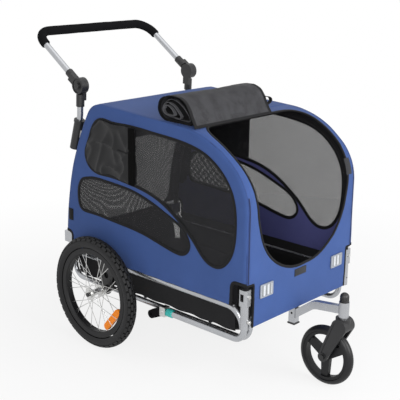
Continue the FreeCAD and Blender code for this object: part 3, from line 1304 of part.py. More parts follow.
def tow_bar():
    """Bent tow tube: a stem that turns in the right front post, then the long arm."""
    bar = tube(tow_edges(), TOW_RADIUS, TUBE_WALL)
    plug = post_z(
        TOW_RADIUS - TUBE_WALL, POST_X, -FRAME_Y, TOW_Z + TOW_BEND, TOW_STEM_TOP_Z)
    bar = bar.fuse(plug)
    groove = post_z(
        TOW_RADIUS + CUT_OVERRUN, POST_X, -FRAME_Y,
        LOCK_PIN_Z - LOCK_GROOVE_HEIGHT / 2, LOCK_PIN_Z + LOCK_GROOVE_HEIGHT / 2)
    groove = groove.cut(post_z(
        TOW_RADIUS - LOCK_GROOVE_DEPTH, POST_X, -FRAME_Y, LOCK_PIN_Z - LOCK_GROOVE_HEIGHT,
        LOCK_PIN_Z + LOCK_GROOVE_HEIGHT))
    return bar.cut(groove)


def tow_collar():
    """Teal end collar on the tow bar."""
    collar = Part.makeCylinder(
        TOW_COLLAR_RADIUS, TOW_COLLAR_LENGTH, V(TOW_END_X, -FRAME_Y, TOW_Z), X_AXIS)
    collar = collar.makeFillet(TOW_COLLAR_ROUND, [edge for edge in collar.Edges if edge.Closed])
    return collar.cut(Part.makeCylinder(
        TOW_RADIUS + SLIP_FIT, TOW_COLLAR_LENGTH, V(TOW_END_X, -FRAME_Y, TOW_Z), X_AXIS))


def tow_clevis():
    """U-shaped clevis on the end of the bar, open to the rear, with its cross pin."""
    half_w = CLEVIS_WIDTH / 2
    half_h = CLEVIS_HEIGHT / 2
    clevis = block(
        CLEVIS_BACK_X, TOW_END_X - SEAT_GAP, -FRAME_Y - half_w, -FRAME_Y + half_w,
        TOW_Z - half_h, TOW_Z + half_h)
    upright = [edge for edge in clevis.Edges if edge.BoundBox.YLength > CLEVIS_WALL]
    clevis = clevis.makeFillet(CLEVIS_WALL, upright)
    gap = half_w - CLEVIS_WALL
    clevis = clevis.cut(block(
        CLEVIS_BACK_X - CUT_OVERRUN, TOW_END_X - CLEVIS_WALL * 2, -FRAME_Y - gap, -FRAME_Y + gap,
        TOW_Z - CLEVIS_HEIGHT, TOW_Z + CLEVIS_HEIGHT))
    pin = bar_y(
        CLEVIS_PIN_RADIUS, CLEVIS_PIN_X, TOW_Z, -FRAME_Y - half_w - CLEVIS_WALL / 2, -FRAME_Y + half_w)
    return clevis.fuse(pin)


def tow_coupler():
    """Rubber hitch coupler on the clevis pin: tapered, drooping, with an eye at its end."""
    big = V(CLEVIS_PIN_X, 0, TOW_Z)
    small = V(COUPLER_EYE_X, 0, TOW_Z - COUPLER_DROP)
    half = COUPLER_THICKNESS / 2
    coupler = slab(
        tapered_slot(big, COUPLER_END_RADIUS + SEAT_GAP, small, COUPLER_END_RADIUS),
        -FRAME_Y - half, -FRAME_Y + half)
    coupler = coupler.cut(block(
        TOW_END_X - CLEVIS_WALL * 2 - SEAT_GAP, TOW_END_X + CLEVIS_LENGTH, -PANEL_OUT_Y, 0, 0, RAIL_Z))
    for radius, place in ((COUPLER_EYE_RADIUS, small), (CLEVIS_PIN_RADIUS + SLIP_FIT, big)):
        coupler = coupler.cut(bar_y(
            radius, place.x, place.z, -FRAME_Y - CLEVIS_WIDTH, -FRAME_Y + CLEVIS_WIDTH))
    return coupler


def tow_lock_pin():
    """Pull pin that holds the tow stem in the post, with a round knob in front."""
    tip = POST_X + TOW_RADIUS - LOCK_GROOVE_DEPTH + SEAT_GAP
    knob_start = POST_X + POST_RADIUS + SEAT_GAP
    shank = Part.makeCylinder(LOCK_PIN_RADIUS, knob_start - tip, V(tip, -FRAME_Y, LOCK_PIN_Z), X_AXIS)
    knob = Part.makeCylinder(
        LOCK_KNOB_RADIUS, LOCK_KNOB_LENGTH, V(knob_start, -FRAME_Y, LOCK_PIN_Z), X_AXIS)
    rim = [edge for edge in knob.Edges if edge.BoundBox.XMin > knob_start + LOCK_KNOB_LENGTH / 2]
    return shank.fuse(knob.makeFillet(LOCK_KNOB_RADIUS / 3, rim))


# Write every piece
for side, turn in (("right", lambda shape: shape), ("left", left_of)):
    save(side + "_upper_rail", turn(upper_rail()))
    save(side + "_lower_rail", turn(lower_rail()))
    save(side + "_front_post", turn(front_post()))
    save(side + "_hoop", turn(hoop()))
    save(side + "_side_cover", turn(side_cover()))
    save(side + "_mesh_windows", turn(mesh_windows()))
    save(side + "_wheel_tyre", turn(place_wheel(wheel_tyre())))
    save(side + "_wheel_rim", turn(place_wheel(wheel_rim())))
    save(side + "_wheel_spokes", turn(place_wheel(group(spoke_bars(SPOKE_RADIUS)))))
    save(side + "_wheel_hub", turn(place_wheel(turned(hub_outline()))))
    save(side + "_spoke_reflector", turn(place_wheel(spoke_reflector())))
    save(side + "_axle_button", turn(place_wheel(axle_button())))
    save(side + "_hinge_button", turn(hinge_button()))

for name, shape in (
        ("rear_brackets", rear_bracket()),
        ("axle_brackets", axle_bracket()),
        ("wheel_axles", place_wheel(wheel_axle())),
        ("hoop_bolts", hoop_bolt()),
        ("skirts", skirt()),
        ("lower_hinges", lower_hinge()),
        ("upper_hinges", upper_hinge()),
        ("handle_lower_tubes", lower_tube()),
        ("handle_sleeves", handle_sleeve()),
        ("handle_stays", handle_stay()),
        ("side_pockets", side_pocket())):
    save(name, group([shape, left_of(shape)]))

save("cross_tubes", group(cross_tubes()))
save("roof_bars", roof_bars())
save("floor_board", floor_board())
save("front_cover", front_cover())
save("roof_cover", cover_band(ROOF_STEPS, FRONT_BOTTOM_Z, BACK_BOTTOM_Z))
save("back_cover", back_cover())
save("door_roll", door_roll())
save("front_reflectors", front_reflectors())
save("caster_leg", caster_leg())
save("leg_foot_cap", leg_foot_cap())
save("caster_arm", caster_arm())
save("lock_knob", lock_knob())
save("caster_fork", caster_fork())
save("caster_wheel_core", place_caster(caster_core()))
save("caster_wheel_tyre", place_caster(caster_tyre()))
save("caster_axle_bolt", place_caster(caster_bolt()))
save("handle_bar", handle_bar())
save("handle_grip", handle_grip())
save("tow_bar", tow_bar())
save("tow_collar", tow_collar())
save("tow_clevis", tow_clevis())
save("tow_coupler", tow_coupler())
save("tow_lock_pin", tow_lock_pin())
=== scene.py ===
# %% [markdown]
# # A dog bike trailer, dressed from its frame
# The steel tubes, hinges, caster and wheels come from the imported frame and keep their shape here.
# This script gives them their finishes and makes what is soft: the cloth cabin, its mesh windows,
# the rolled-up door, the foam grip and the treaded tyres. The soft pieces could be modelled by eye.
# They are measured from the frame instead, so that they fit the tubes that carry them.

# %% Load the frame
import json
import math

import bmesh
import bpy
from mathutils import Matrix, Vector, kdtree, noise


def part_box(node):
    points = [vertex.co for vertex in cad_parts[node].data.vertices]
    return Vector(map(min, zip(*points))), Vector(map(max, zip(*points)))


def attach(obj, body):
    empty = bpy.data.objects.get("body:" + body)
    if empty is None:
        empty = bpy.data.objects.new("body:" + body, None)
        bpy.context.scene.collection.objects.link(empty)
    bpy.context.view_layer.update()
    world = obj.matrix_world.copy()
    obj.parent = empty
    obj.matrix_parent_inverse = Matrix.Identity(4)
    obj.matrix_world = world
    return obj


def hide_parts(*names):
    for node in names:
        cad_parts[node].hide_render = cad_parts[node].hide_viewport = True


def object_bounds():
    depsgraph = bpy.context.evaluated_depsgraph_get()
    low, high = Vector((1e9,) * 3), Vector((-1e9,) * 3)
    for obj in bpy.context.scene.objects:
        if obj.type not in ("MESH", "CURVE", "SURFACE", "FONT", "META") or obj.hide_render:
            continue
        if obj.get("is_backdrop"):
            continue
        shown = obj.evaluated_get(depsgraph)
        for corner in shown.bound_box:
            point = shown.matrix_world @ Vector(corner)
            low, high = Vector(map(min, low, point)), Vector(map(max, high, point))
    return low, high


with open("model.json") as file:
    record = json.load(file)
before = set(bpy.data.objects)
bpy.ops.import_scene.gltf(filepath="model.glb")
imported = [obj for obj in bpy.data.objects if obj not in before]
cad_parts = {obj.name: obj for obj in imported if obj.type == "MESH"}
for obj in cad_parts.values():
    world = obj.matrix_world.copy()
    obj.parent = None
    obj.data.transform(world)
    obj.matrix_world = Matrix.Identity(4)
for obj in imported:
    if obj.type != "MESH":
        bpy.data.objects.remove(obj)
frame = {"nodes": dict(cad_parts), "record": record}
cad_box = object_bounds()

nodes = frame["nodes"]
SIDES = (("right", -1), ("left", 1))
print("frame loaded with", len(nodes), "pieces")

# %% [markdown]
# ## The cabin's side profile
# On the real trailer the front, roof and back are one band of cloth, drawn tight over two bent hoops.
# Such a band could be pushed into shape point by point. Here its bend is written down once, as a walk
# of straight runs and arcs in the side view, so that each piece of the band can be drawn flat first,
# as a cutter would draw it.

# %% Profile of the cabin
FRONT_STRAIGHT = 0.374
BROW_LOW_RADIUS = 0.181
BROW_LOW_ANGLE = math.radians(46.0)
BROW_HIGH_RADIUS = 0.352
BROW_HIGH_ANGLE = math.radians(40.9)
ROOF_LENGTH = 0.379
REAR_TOP_RADIUS = 0.078
REAR_TOP_ANGLE = math.radians(63.6)
REAR_RADIUS = 0.974
REAR_SWEEP_ANGLE = math.radians(27.5)
REAR_STRAIGHT = 0.15
front_low, front_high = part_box("front_cover")


def direction(angle):
    """Unit step in the side view, counted from forwards towards up."""
    return Vector((math.cos(angle), math.sin(angle)))


def lay_path(point, heading, runs):
    """Stretches of a path: distance walked, length, start, heading and radius, right turns negative."""
    stretches = []
    walked = 0.0
    for length, radius in runs:
        stretches.append((walked, length, point, heading, radius))
        if radius is None:
            point = point + direction(heading) * length
        else:
            centre = point + direction(heading + math.pi / 2) * radius
            heading = heading + length / radius
            point = centre - direction(heading + math.pi / 2) * radius
        walked = walked + length
    return stretches


PROFILE = lay_path(Vector((front_high.x, front_low.z)), math.pi / 2, (
    (FRONT_STRAIGHT, None), (BROW_LOW_RADIUS * BROW_LOW_ANGLE, BROW_LOW_RADIUS),
    (BROW_HIGH_RADIUS * BROW_HIGH_ANGLE, BROW_HIGH_RADIUS), (ROOF_LENGTH, None),
    (REAR_TOP_RADIUS * REAR_TOP_ANGLE, REAR_TOP_RADIUS),
    (REAR_RADIUS * REAR_SWEEP_ANGLE, REAR_RADIUS), (REAR_STRAIGHT, None)))
BROW_END, ROOF_END = PROFILE[3][0], PROFILE[4][0]
print("profile of", len(PROFILE), "stretches; the brow ends after", round(BROW_END, 4), "m")

# %% [markdown]
# ## Walking along a path
# A cutter measures along the cloth, not through the air. `path_at` finds the place at a distance along
# a path, and `profile_find` asks the opposite question. A curve object could be sampled for this, but
# runs and arcs give exact answers with a little school geometry.

# %% Walking along a path
def path_at(path, along):
    """Point on a path and the direction to its right, which points out of the cabin on the profile."""
    stretch = path[0]
    for candidate in path:
        if candidate[0] <= along:
            stretch = candidate
    walked, length, start, heading, radius = stretch
    run = along - walked
    if radius is None:
        return start + direction(heading) * run, direction(heading - math.pi / 2)
    centre = start + direction(heading + math.pi / 2) * radius
    outward = direction(heading + run / radius - math.pi / 2)
    return centre + outward * radius, outward


def profile_find(x, z):
    """Distance along the profile, and height above it, of a point in the side view."""
    point = Vector((x, z))
    best = None
    for walked, length, start, heading, radius in PROFILE:
        if radius is None:
            run = (point - start).dot(direction(heading))
        else:
            centre = start + direction(heading + math.pi / 2) * radius
            spoke = point - centre
            turn = math.atan2(spoke.y, spoke.x) + math.pi / 2 - heading
            run = radius * (turn - 2 * math.pi * round(turn / (2 * math.pi)))
        along = walked + min(max(run, 0.0), length)
        foot, outward = path_at(PROFILE, along)
        miss = (point - foot).length
        if best is None or miss < best[0]:
            best = (miss, along, (point - foot).dot(outward))
    return best[1], best[2]


print("profile length", round(PROFILE[-1][0] + PROFILE[-1][1], 4), "m")

# %% [markdown]
# ## Laying flat cloth over the hoops
# The cloth of the cabin bends round each hoop, where the band meets the side panels. A flat point is
# written as (across, along the profile, height), or on a side panel as (forwards, up, height).
# `wrap` carries such points onto the bent band, and `unwrap` goes the other way.
# A Curve modifier could bend a sheet too, but these placers move cloth, tapes and stitches alike, so
# that all of them stay together.

# %% Laying flat cloth over the hoops
CLOTH = 0.002
side_low, side_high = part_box("right_side_cover")
hoop_low, hoop_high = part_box("right_hoop")
panel_in_y = -side_high.y
hoop_y = -(hoop_low.y + hoop_high.y) / 2
corner_radius = panel_in_y + CLOTH - hoop_y


def wrap(flat):
    """Place of a flat point (across, along, height) on the bent band, drawn down over the hoops."""
    foot, outward = path_at(PROFILE, flat.y)
    across, height = flat.x, flat.z
    beyond = abs(across) - hoop_y
    if beyond > 0:
        bend = math.pi / 4 * beyond / (panel_in_y - hoop_y)
        across = math.copysign(hoop_y + (corner_radius + flat.z) * math.sin(bend), across)
        height = (corner_radius + flat.z) * math.cos(bend) - corner_radius
    place = foot + outward * height
    return Vector((place.x, across, place.y))


def unwrap(point):
    along, height = profile_find(point.x, point.z)
    return Vector((point.y, along, height))


print("the band can be wrapped over a width of", round(2 * panel_in_y, 3), "m")

# %% [markdown]
# ### Laying a side panel
# A side panel is flat, apart from its edge, which bends in over the hoop to meet the band halfway. It
# could be modelled flat and stretched at the edge by hand. Its placer measures how far a point is from
# the profile instead, and bends only what lies over the hoop.

# %% Laying a side panel
def onto_side(side):
    """Placer for a flat side panel: forwards, up, and height above the face. Its edge bends in."""
    def place(flat):
        along, height = profile_find(flat.x, flat.y)
        if -height >= corner_radius:
            return Vector((flat.x, side * (panel_in_y + CLOTH + flat.z), flat.y))
        bend = math.pi / 4 * (1 - min(height, 0.0) / corner_radius)
        foot, outward = path_at(PROFILE, along)
        spot = foot + outward * ((corner_radius + flat.z) * math.cos(bend) - corner_radius)
        return Vector((spot.x, side * (hoop_y + (corner_radius + flat.z) * math.sin(bend)), spot.y))
    return place


def off_side(point):
    return Vector((point.x, point.z, abs(point.y) - panel_in_y - CLOTH))


print("cloth bends round the hoops with a radius of", round(corner_radius, 4), "m")

# %% [markdown]
# ## Finishes: the helpers
# Real cloth, paint and rubber are never one flat colour. Photographs could be used as textures, but
# they have to be kept beside the script and carry the light they were taken in. Small node graphs need
# no files, and their scale is in metres. Cloth reads the flat pattern from its own UV map, so that the
# weave follows every bend. The other finishes read Object coordinates.

# %% Node helpers
def new_finish(name, colour, roughness, metallic=0.0, sheen=0.0, gloss=0.5):
    """Finish with a plain surface, its node tree and its shader."""
    finish = bpy.data.materials.new(name)
    finish.use_nodes = True
    shader = finish.node_tree.nodes["Principled BSDF"]
    shader.inputs["Base Color"].default_value = (*colour, 1)
    shader.inputs["Roughness"].default_value = roughness
    shader.inputs["Metallic"].default_value = metallic
    shader.inputs["Sheen Weight"].default_value = sheen
    shader.inputs["Specular IOR Level"].default_value = gloss
    return finish, finish.node_tree, shader


def node_of(tree, kind, **values):
    """New node with some of its inputs set by name."""
    node = tree.nodes.new(kind)
    for key, value in values.items():
        node.inputs[key.replace("_", " ")].default_value = value
    return node


def joined(tree, operation, one, two):
    """Math node over two values, each a number or another node's output."""
    node = tree.nodes.new("ShaderNodeMath")
    node.operation = operation
    for socket, value in zip(node.inputs, (one, two)):
        if isinstance(value, float):
            socket.default_value = value
        else:
            tree.links.new(value, socket)
    return node.outputs["Value"]


def spanned(tree, value, low, high, **limits):
    """Map a value from 0 to 1, or from the limits given, to a range from low to high."""
    span = node_of(tree, "ShaderNodeMapRange", To_Min=low, To_Max=high, **limits)
    tree.links.new(value, span.inputs["Value"])
    return span.outputs["Result"]


print("nodes can be added, joined and mapped")

# %% [markdown]
# ### Unevenness, shade and relief
# Three things make a finish look real: a soft noise, a colour that it darkens, and a small relief. Each
# could be wired by hand in the shader editor. As helpers, they work alike in every finish.

# %% Unevenness, shade and relief
def mottle(tree, source, scale, detail, low, high):
    """Soft noise between two values, read from a coordinate output."""
    cloud = node_of(tree, "ShaderNodeTexNoise", Scale=scale, Detail=detail, Roughness=0.55)
    tree.links.new(source, cloud.inputs["Vector"])
    return spanned(tree, cloud.outputs["Fac"], low, high)


def shade_colour(tree, shader, colour, share):
    """Multiply a colour by a share that comes from another node."""
    mix = tree.nodes.new("ShaderNodeVectorMath")
    mix.operation = "SCALE"
    mix.inputs[0].default_value = colour
    tree.links.new(share, mix.inputs["Scale"])
    tree.links.new(mix.outputs["Vector"], shader.inputs["Base Color"])


def bump_from(tree, shader, height, strength, distance):
    """Small relief from a height value; the distance is in metres."""
    bump = node_of(tree, "ShaderNodeBump", Strength=strength, Distance=distance)
    tree.links.new(height, bump.inputs["Height"])
    tree.links.new(bump.outputs["Normal"], shader.inputs["Normal"])


print("finishes can be mottled, shaded and embossed")

# %% [markdown]
# ### Woven cloth
# The cabin is coated plain-weave cloth, and so are its tapes and linings. Modelled threads would need
# millions of faces. Two crossing Wave textures on the flat pattern give the same small relief, and
# a soft noise darkens the cloth where it has been folded.

# %% Woven cloth
THREAD = 0.0016
WAVES_PER_UNIT = 3.2  # a Wave texture of scale 1 shows about this many bands


def thread_waves(tree, pitch, turn=0.0):
    """Two crossing sets of threads on the flat pattern, each from 0 to 1, turned if cut on the bias."""
    pattern = tree.nodes.new("ShaderNodeUVMap")
    pattern.uv_map = "pattern"
    turned = node_of(tree, "ShaderNodeMapping", Rotation=(0.0, 0.0, turn))
    tree.links.new(pattern.outputs["UV"], turned.inputs["Vector"])
    waves = []
    for way in ("X", "Y"):
        wave = node_of(tree, "ShaderNodeTexWave", Scale=1 / pitch / WAVES_PER_UNIT, Distortion=0.0)
        wave.bands_direction = way
        tree.links.new(turned.outputs["Vector"], wave.inputs["Vector"])
        waves.append(wave.outputs["Fac"])
    return pattern.outputs["UV"], waves


def woven(name, colour, roughness=0.8, strength=0.35, sheen=0.02, gloss=0.2):
    """Plain-weave coated cloth, faintly mottled where it has been folded."""
    finish, tree, shader = new_finish(name, colour, roughness, sheen=sheen, gloss=gloss)
    flat, (warp, weft) = thread_waves(tree, THREAD)
    weave = joined(tree, "MULTIPLY", warp, weft)
    threads = joined(tree, "ADD", joined(tree, "MULTIPLY", weave, 0.16), 0.92)
    worn = mottle(tree, flat, 9.0, 4.0, 0.86, 1.12)
    shade_colour(tree, shader, colour, joined(tree, "MULTIPLY", worn, threads))
    bump_from(tree, shader, weave, strength, 0.0004)
    return finish


blue_cloth = woven("blue cloth", (0.042, 0.088, 0.265), roughness=0.7, sheen=0.04, gloss=0.25)
piping_cloth = woven("blue piping", (0.026, 0.052, 0.170), roughness=0.7, gloss=0.25)
seam_cloth = woven("dark blue seam", (0.012, 0.022, 0.080), roughness=0.75, sheen=0.12, gloss=0.35)
navy_lining = woven("navy lining", (0.095, 0.100, 0.280))
black_cloth = woven("black cloth", (0.010, 0.010, 0.011))
pocket_cloth = woven("charcoal cloth", (0.011, 0.011, 0.012), 0.45, 0.2, sheen=0.0, gloss=0.25)
# Near-black, nearly matt cloth that stands for the shadow at each pocket's front edge: painted shadow.
gap_shadow_cloth = woven("black painted shadow", (0.004, 0.004, 0.004), 0.95, 0.2, sheen=0.0, gloss=0.05)
binding_tape = woven("black binding tape", (0.007, 0.007, 0.008), 0.75, 0.6)
edge_tape = woven("grey edge tape", (0.11, 0.11, 0.12), 0.8, 0.5, sheen=0.05, gloss=0.35)
grey_tape = woven("dark grey hook tape", (0.030, 0.031, 0.035), 0.9, 0.8, sheen=0.05, gloss=0.35)
print("cloths made, from", blue_cloth.name, "to", grey_tape.name)

# %% [markdown]
# ### Open mesh
# The windows are knitted mesh. Where two meshes lie behind each other, their threads cross and draw
# broad moving bands. Holes cut in the sheet would be far too many faces, and plain grey glass would
# lose the bands. So the threads stay opaque and the holes see-through, by Alpha. The left windows are
# cut on the bias, because equal meshes in line with each other look like wicker.

# %% Open mesh
MESH_PITCH = 0.0021
MESH_BLACK = (0.022, 0.022, 0.024)


def open_mesh(name, colour, hole_alpha, thread_alpha, uneven=0.1, patch_scale=34.0, turn=0.0):
    """Knitted mesh: threads on a square grid, with see-through holes between them."""
    finish, tree, shader = new_finish(name, colour, 0.7, gloss=0.2)
    flat, (warp, weft) = thread_waves(tree, MESH_PITCH, turn)
    weave = joined(tree, "MAXIMUM", warp, weft)
    alpha = spanned(tree, weave, hole_alpha, thread_alpha, From_Min=0.44, From_Max=0.84)
    tree.links.new(alpha, shader.inputs["Alpha"])
    shade_colour(tree, shader, colour, mottle(tree, flat, patch_scale, 5.0, 1 - uneven, 1 + uneven))
    bump_from(tree, shader, weave, 0.4, 0.0005)
    return finish


window_mesh = open_mesh("window mesh", MESH_BLACK, 0.05, 0.97)
bias_mesh = open_mesh("window mesh on the bias", MESH_BLACK, 0.05, 0.97, turn=math.pi / 4)
sheer_mesh = open_mesh("rear window mesh", (0.040, 0.040, 0.042), 0.02, 0.70)
roll_mesh = open_mesh("door mesh", (0.044, 0.044, 0.048), 0.85, 1.0, uneven=0.65, patch_scale=26.0)
print("mesh threads lie", MESH_PITCH * 1000, "mm apart")

# %% [markdown]
# ### Metal, paint, plastic, rubber and foam
# The tubes are polished, the small parts plated, painted or moulded. One colour and one roughness for
# each would look like a drawing. A fine grain in the relief and a slow drift in the gloss are enough,
# so one helper serves all of these finishes.

# %% Moulded and painted finishes
def moulded(name, colour, roughness, grain, bump, metallic=0.0, gloss=0.5):
    """Plastic, rubber, foam or paint with a fine grain and slightly uneven gloss."""
    finish, tree, shader = new_finish(name, colour, roughness, metallic, gloss=gloss)
    place = tree.nodes.new("ShaderNodeTexCoord").outputs["Object"]
    dull = mottle(tree, place, 14.0, 3.0, max(roughness - 0.08, 0.05), min(roughness + 0.1, 1.0))
    tree.links.new(dull, shader.inputs["Roughness"])
    shade_colour(tree, shader, colour, mottle(tree, place, 22.0, 4.0, 0.88, 1.1))
    bump_from(tree, shader, mottle(tree, place, grain, 2.0, 0.0, 1.0), bump, 0.0004)
    return finish


silver_tube = moulded("silver tube", (0.44, 0.45, 0.47), 0.26, 900.0, 0.04, metallic=0.92)
# The same silver, made darker: painted shade for the cross tubes under the cabin.
shaded_silver_tube = moulded("silver tube with painted shade", (0.30, 0.31, 0.32), 0.42, 900.0, 0.04, metallic=0.8)
zinc_steel = moulded("zinc steel", (0.62, 0.62, 0.61), 0.3, 700.0, 0.06, metallic=0.95)
black_paint = moulded("black paint", (0.009, 0.009, 0.010), 0.3, 500.0, 0.04)
black_plastic = moulded("black plastic", (0.011, 0.011, 0.012), 0.45, 1400.0, 0.18)
rim_black = moulded("black rim", (0.006, 0.006, 0.007), 0.45, 700.0, 0.05, gloss=0.3)
tyre_rubber = moulded("tyre rubber", (0.009, 0.009, 0.010), 0.6, 900.0, 0.2, gloss=0.35)
caster_rubber = moulded("caster rubber", (0.006, 0.006, 0.007), 0.4, 700.0, 0.1, gloss=0.35)
hoop_sleeve = moulded("black hoop sleeve", (0.008, 0.008, 0.009), 0.85, 800.0, 0.3, gloss=0.15)
foam = moulded("foam", (0.009, 0.009, 0.010), 0.95, 1100.0, 0.5, gloss=0.04)
board = moulded("floor board", (0.012, 0.012, 0.014), 0.7, 300.0, 0.2)
frame_grey = moulded("grey reflector frame", (0.30, 0.32, 0.36), 0.35, 900.0, 0.05)
teal = moulded("teal plastic", (0.030, 0.440, 0.400), 0.4, 900.0, 0.08)
thread_finish = moulded("blue thread", (0.035, 0.070, 0.230), 0.7, 600.0, 0.1)
print("finishes made, from", silver_tube.name, "to", thread_finish.name)

# %% [markdown]
# ### Reflector lenses
# A reflector is clear plastic over a field of small prisms, and the white ones have upright ribs too.
# Prisms of glass would be slow to render and noisy. A Voronoi texture without randomness gives square
# cells, which shade and dent a plain coated surface.

# %% Reflector lenses
def faceted(name, colour, pitch, rib=None):
    """Reflector lens: a field of small square prisms, with upright ribs if wanted."""
    finish, tree, shader = new_finish(name, colour, 0.3, gloss=0.2)
    shader.inputs["Coat Weight"].default_value = 0.05
    place = tree.nodes.new("ShaderNodeTexCoord").outputs["Object"]
    cells = node_of(tree, "ShaderNodeTexVoronoi", Scale=1 / pitch, Randomness=0.0)
    tree.links.new(place, cells.inputs["Vector"])
    prism = cells.outputs["Distance"]
    light = joined(tree, "SUBTRACT", 1.25, joined(tree, "MULTIPLY", prism, 0.5))
    if rib:
        ribs = node_of(tree, "ShaderNodeTexWave", Scale=1 / rib / WAVES_PER_UNIT, Distortion=0.0)
        ribs.bands_direction = "Y"
        tree.links.new(place, ribs.inputs["Vector"])
        light = joined(tree, "MULTIPLY", light, spanned(tree, ribs.outputs["Fac"], 0.35, 1.1))
    shade_colour(tree, shader, colour, light)
    bump_from(tree, shader, prism, 0.5, 0.0008)
    return finish


amber = faceted("amber lens", (1.0, 0.27, 0.008), 0.005)
white_lens = faceted("white lens", (0.55, 0.57, 0.60), 0.006, rib=0.019)
print("lenses made:", amber.name, "and", white_lens.name)

# %% [markdown]
# ## Finishing the frame
# Each CAD piece names the material it is made of, and most pieces take the finish of that name.
# A few differ on the real trailer, such as the hoops, which run in black sleeves, and the black rims.
# The cross tubes under the cabin take a darker copy of the silver instead, which is painted shade.
# They could be painted by hand, but a table keeps the exceptions in one place.

# %% Finishes of the CAD pieces
FINISH_OF = {
    "silver_tube": silver_tube, "zinc_steel": zinc_steel, "black_paint": black_paint,
    "black_plastic": black_plastic, "tyre_rubber": tyre_rubber, "foam": foam, "board": board,
    "amber": amber, "white_reflector": white_lens, "teal": teal, "blue_cloth": blue_cloth,
    "black_cloth": black_cloth, "black_mesh": window_mesh,
}
# The cross tubes take the darker silver, which is painted shade under the cabin.
OWN_FINISH = {
    "cross_tubes": shaded_silver_tube, "axle_brackets": black_paint, "caster_axle_bolt": black_paint,
    "right_wheel_rim": rim_black, "left_wheel_rim": rim_black, "caster_wheel_core": rim_black,
    "caster_wheel_tyre": caster_rubber, "right_hoop": hoop_sleeve, "left_hoop": hoop_sleeve,
    "roof_bars": hoop_sleeve,
}
for subpart in frame["record"]["subparts"]:
    node = nodes[subpart["node"]]
    node.data.materials.clear()
    node.data.materials.append(OWN_FINISH.get(subpart["node"], FINISH_OF[subpart["material_slot"]]))

# %% [markdown]
# ## Unfolding a cover
# A sewn cover starts as a flat pattern. It could be drawn again by hand, but the CAD covers already
# hold the right outline. `unfolded` takes a copy of one, merges its loose triangles and carries every
# point back to the flat.

# %% Unfolding a cover
def islands(pattern):
    """Sets of joined vertices, the one that reaches highest first."""
    left = set(pattern.verts)
    found = []
    while left:
        grow = [left.pop()]
        island = set(grow)
        while grow:
            for edge in grow.pop().link_edges:
                fresh = [vert for vert in edge.verts if vert not in island]
                island.update(fresh)
                grow.extend(fresh)
        left = left - island
        found.append(island)
    return sorted(found, key=lambda island: -max(vert.co.y for vert in island))


def unfolded(node, flatten, side=0, pick=None):
    """Merged copy of a CAD piece in pattern coordinates: one side's solids, or one picked island."""
    source = nodes[node]
    pattern = bmesh.new()
    pattern.from_mesh(source.data)
    pattern.transform(source.matrix_world)
    bmesh.ops.remove_doubles(pattern, verts=pattern.verts, dist=1e-6)
    if side:
        other = [vert for vert in pattern.verts if vert.co.y * side < 0]
        bmesh.ops.delete(pattern, geom=other, context="VERTS")
    for vert in pattern.verts:
        vert.co = flatten(vert.co)
    if pick is not None:
        spare = [vert for number, island in enumerate(islands(pattern)) if number != pick for vert in island]
        bmesh.ops.delete(pattern, geom=spare, context="VERTS")
    bmesh.ops.recalc_face_normals(pattern, faces=pattern.faces)
    return pattern


side_pattern = unfolded("right_side_cover", off_side)
print("side pattern unfolded,", len(side_pattern.faces), "faces")

# %% [markdown]
# ## Reading the outlines
# Bindings and stitches follow the edge of the cloth and of its windows. Those edges are sharp on the
# unfolded pattern, so they can be found by their angle, and then walked from vertex to vertex into
# closed outlines. Drawing them as curves would do, but they would no longer follow the CAD piece.

# %% Reading the outlines
SHARP_ANGLE = math.radians(50)


def middle_height(pattern):
    return (max(vert.co.z for vert in pattern.verts) + min(vert.co.z for vert in pattern.verts)) / 2


def outline_loops(pattern):
    """Closed outlines of a flat pattern's upper face, anticlockwise, widest first."""
    middle = middle_height(pattern)
    follow = {}
    for edge in pattern.edges:
        if len(edge.link_faces) == 2 and edge.calc_face_angle(0) > SHARP_ANGLE:
            one, two = edge.verts
            if one.co.z > middle and two.co.z > middle:
                follow.setdefault(one, []).append(two)
                follow.setdefault(two, []).append(one)
    loops = []
    while follow:
        ring = [next(iter(follow))]
        while True:
            ahead = [vert for vert in follow.pop(ring[-1], []) if vert in follow]
            if not ahead:
                break
            ring.append(ahead[0])
        points = [Vector((vert.co.x, vert.co.y)) for vert in ring]
        area = sum(a.cross(b) for a, b in zip(points, points[1:] + points[:1])) / 2
        if len(points) > 3:
            loops.append((abs(area), points if area > 0 else points[::-1]))
    return [points for area, points in sorted(loops, key=lambda entry: -entry[0])]


side_loops = outline_loops(side_pattern)
side_outline, upper_window, lower_window = side_loops[:3]
print("side outline and windows:", [len(loop) for loop in side_loops[:3]], "points")

# %% [markdown]
# ## Gridded blanks
# Cloth needs an even grid of faces, or it can't bend and crease smoothly. The CAD faces are long
# triangles, and subdividing those would crease in streaks. So a gridded blank is laid under the pattern
# and cut to its outline by a Boolean, much as a cutter lays a pattern on a bolt of cloth.

# %% Gridded blanks
def object_of(name, mesh_data):
    """Put a bmesh into the scene as an object."""
    mesh = bpy.data.meshes.new(name)
    mesh_data.to_mesh(mesh)
    piece = bpy.data.objects.new(name, mesh)
    bpy.context.scene.collection.objects.link(piece)
    return piece


def thickened(sheet, faces, rise):
    """Extrude flat faces into a closed sheet."""
    lifted = bmesh.ops.extrude_face_region(sheet, geom=faces, use_keep_orig=True)["geom"]
    moved = [item for item in lifted if isinstance(item, bmesh.types.BMVert)]
    bmesh.ops.translate(sheet, vec=(0, 0, rise), verts=moved)
    bmesh.ops.recalc_face_normals(sheet, faces=sheet.faces)
    return sheet


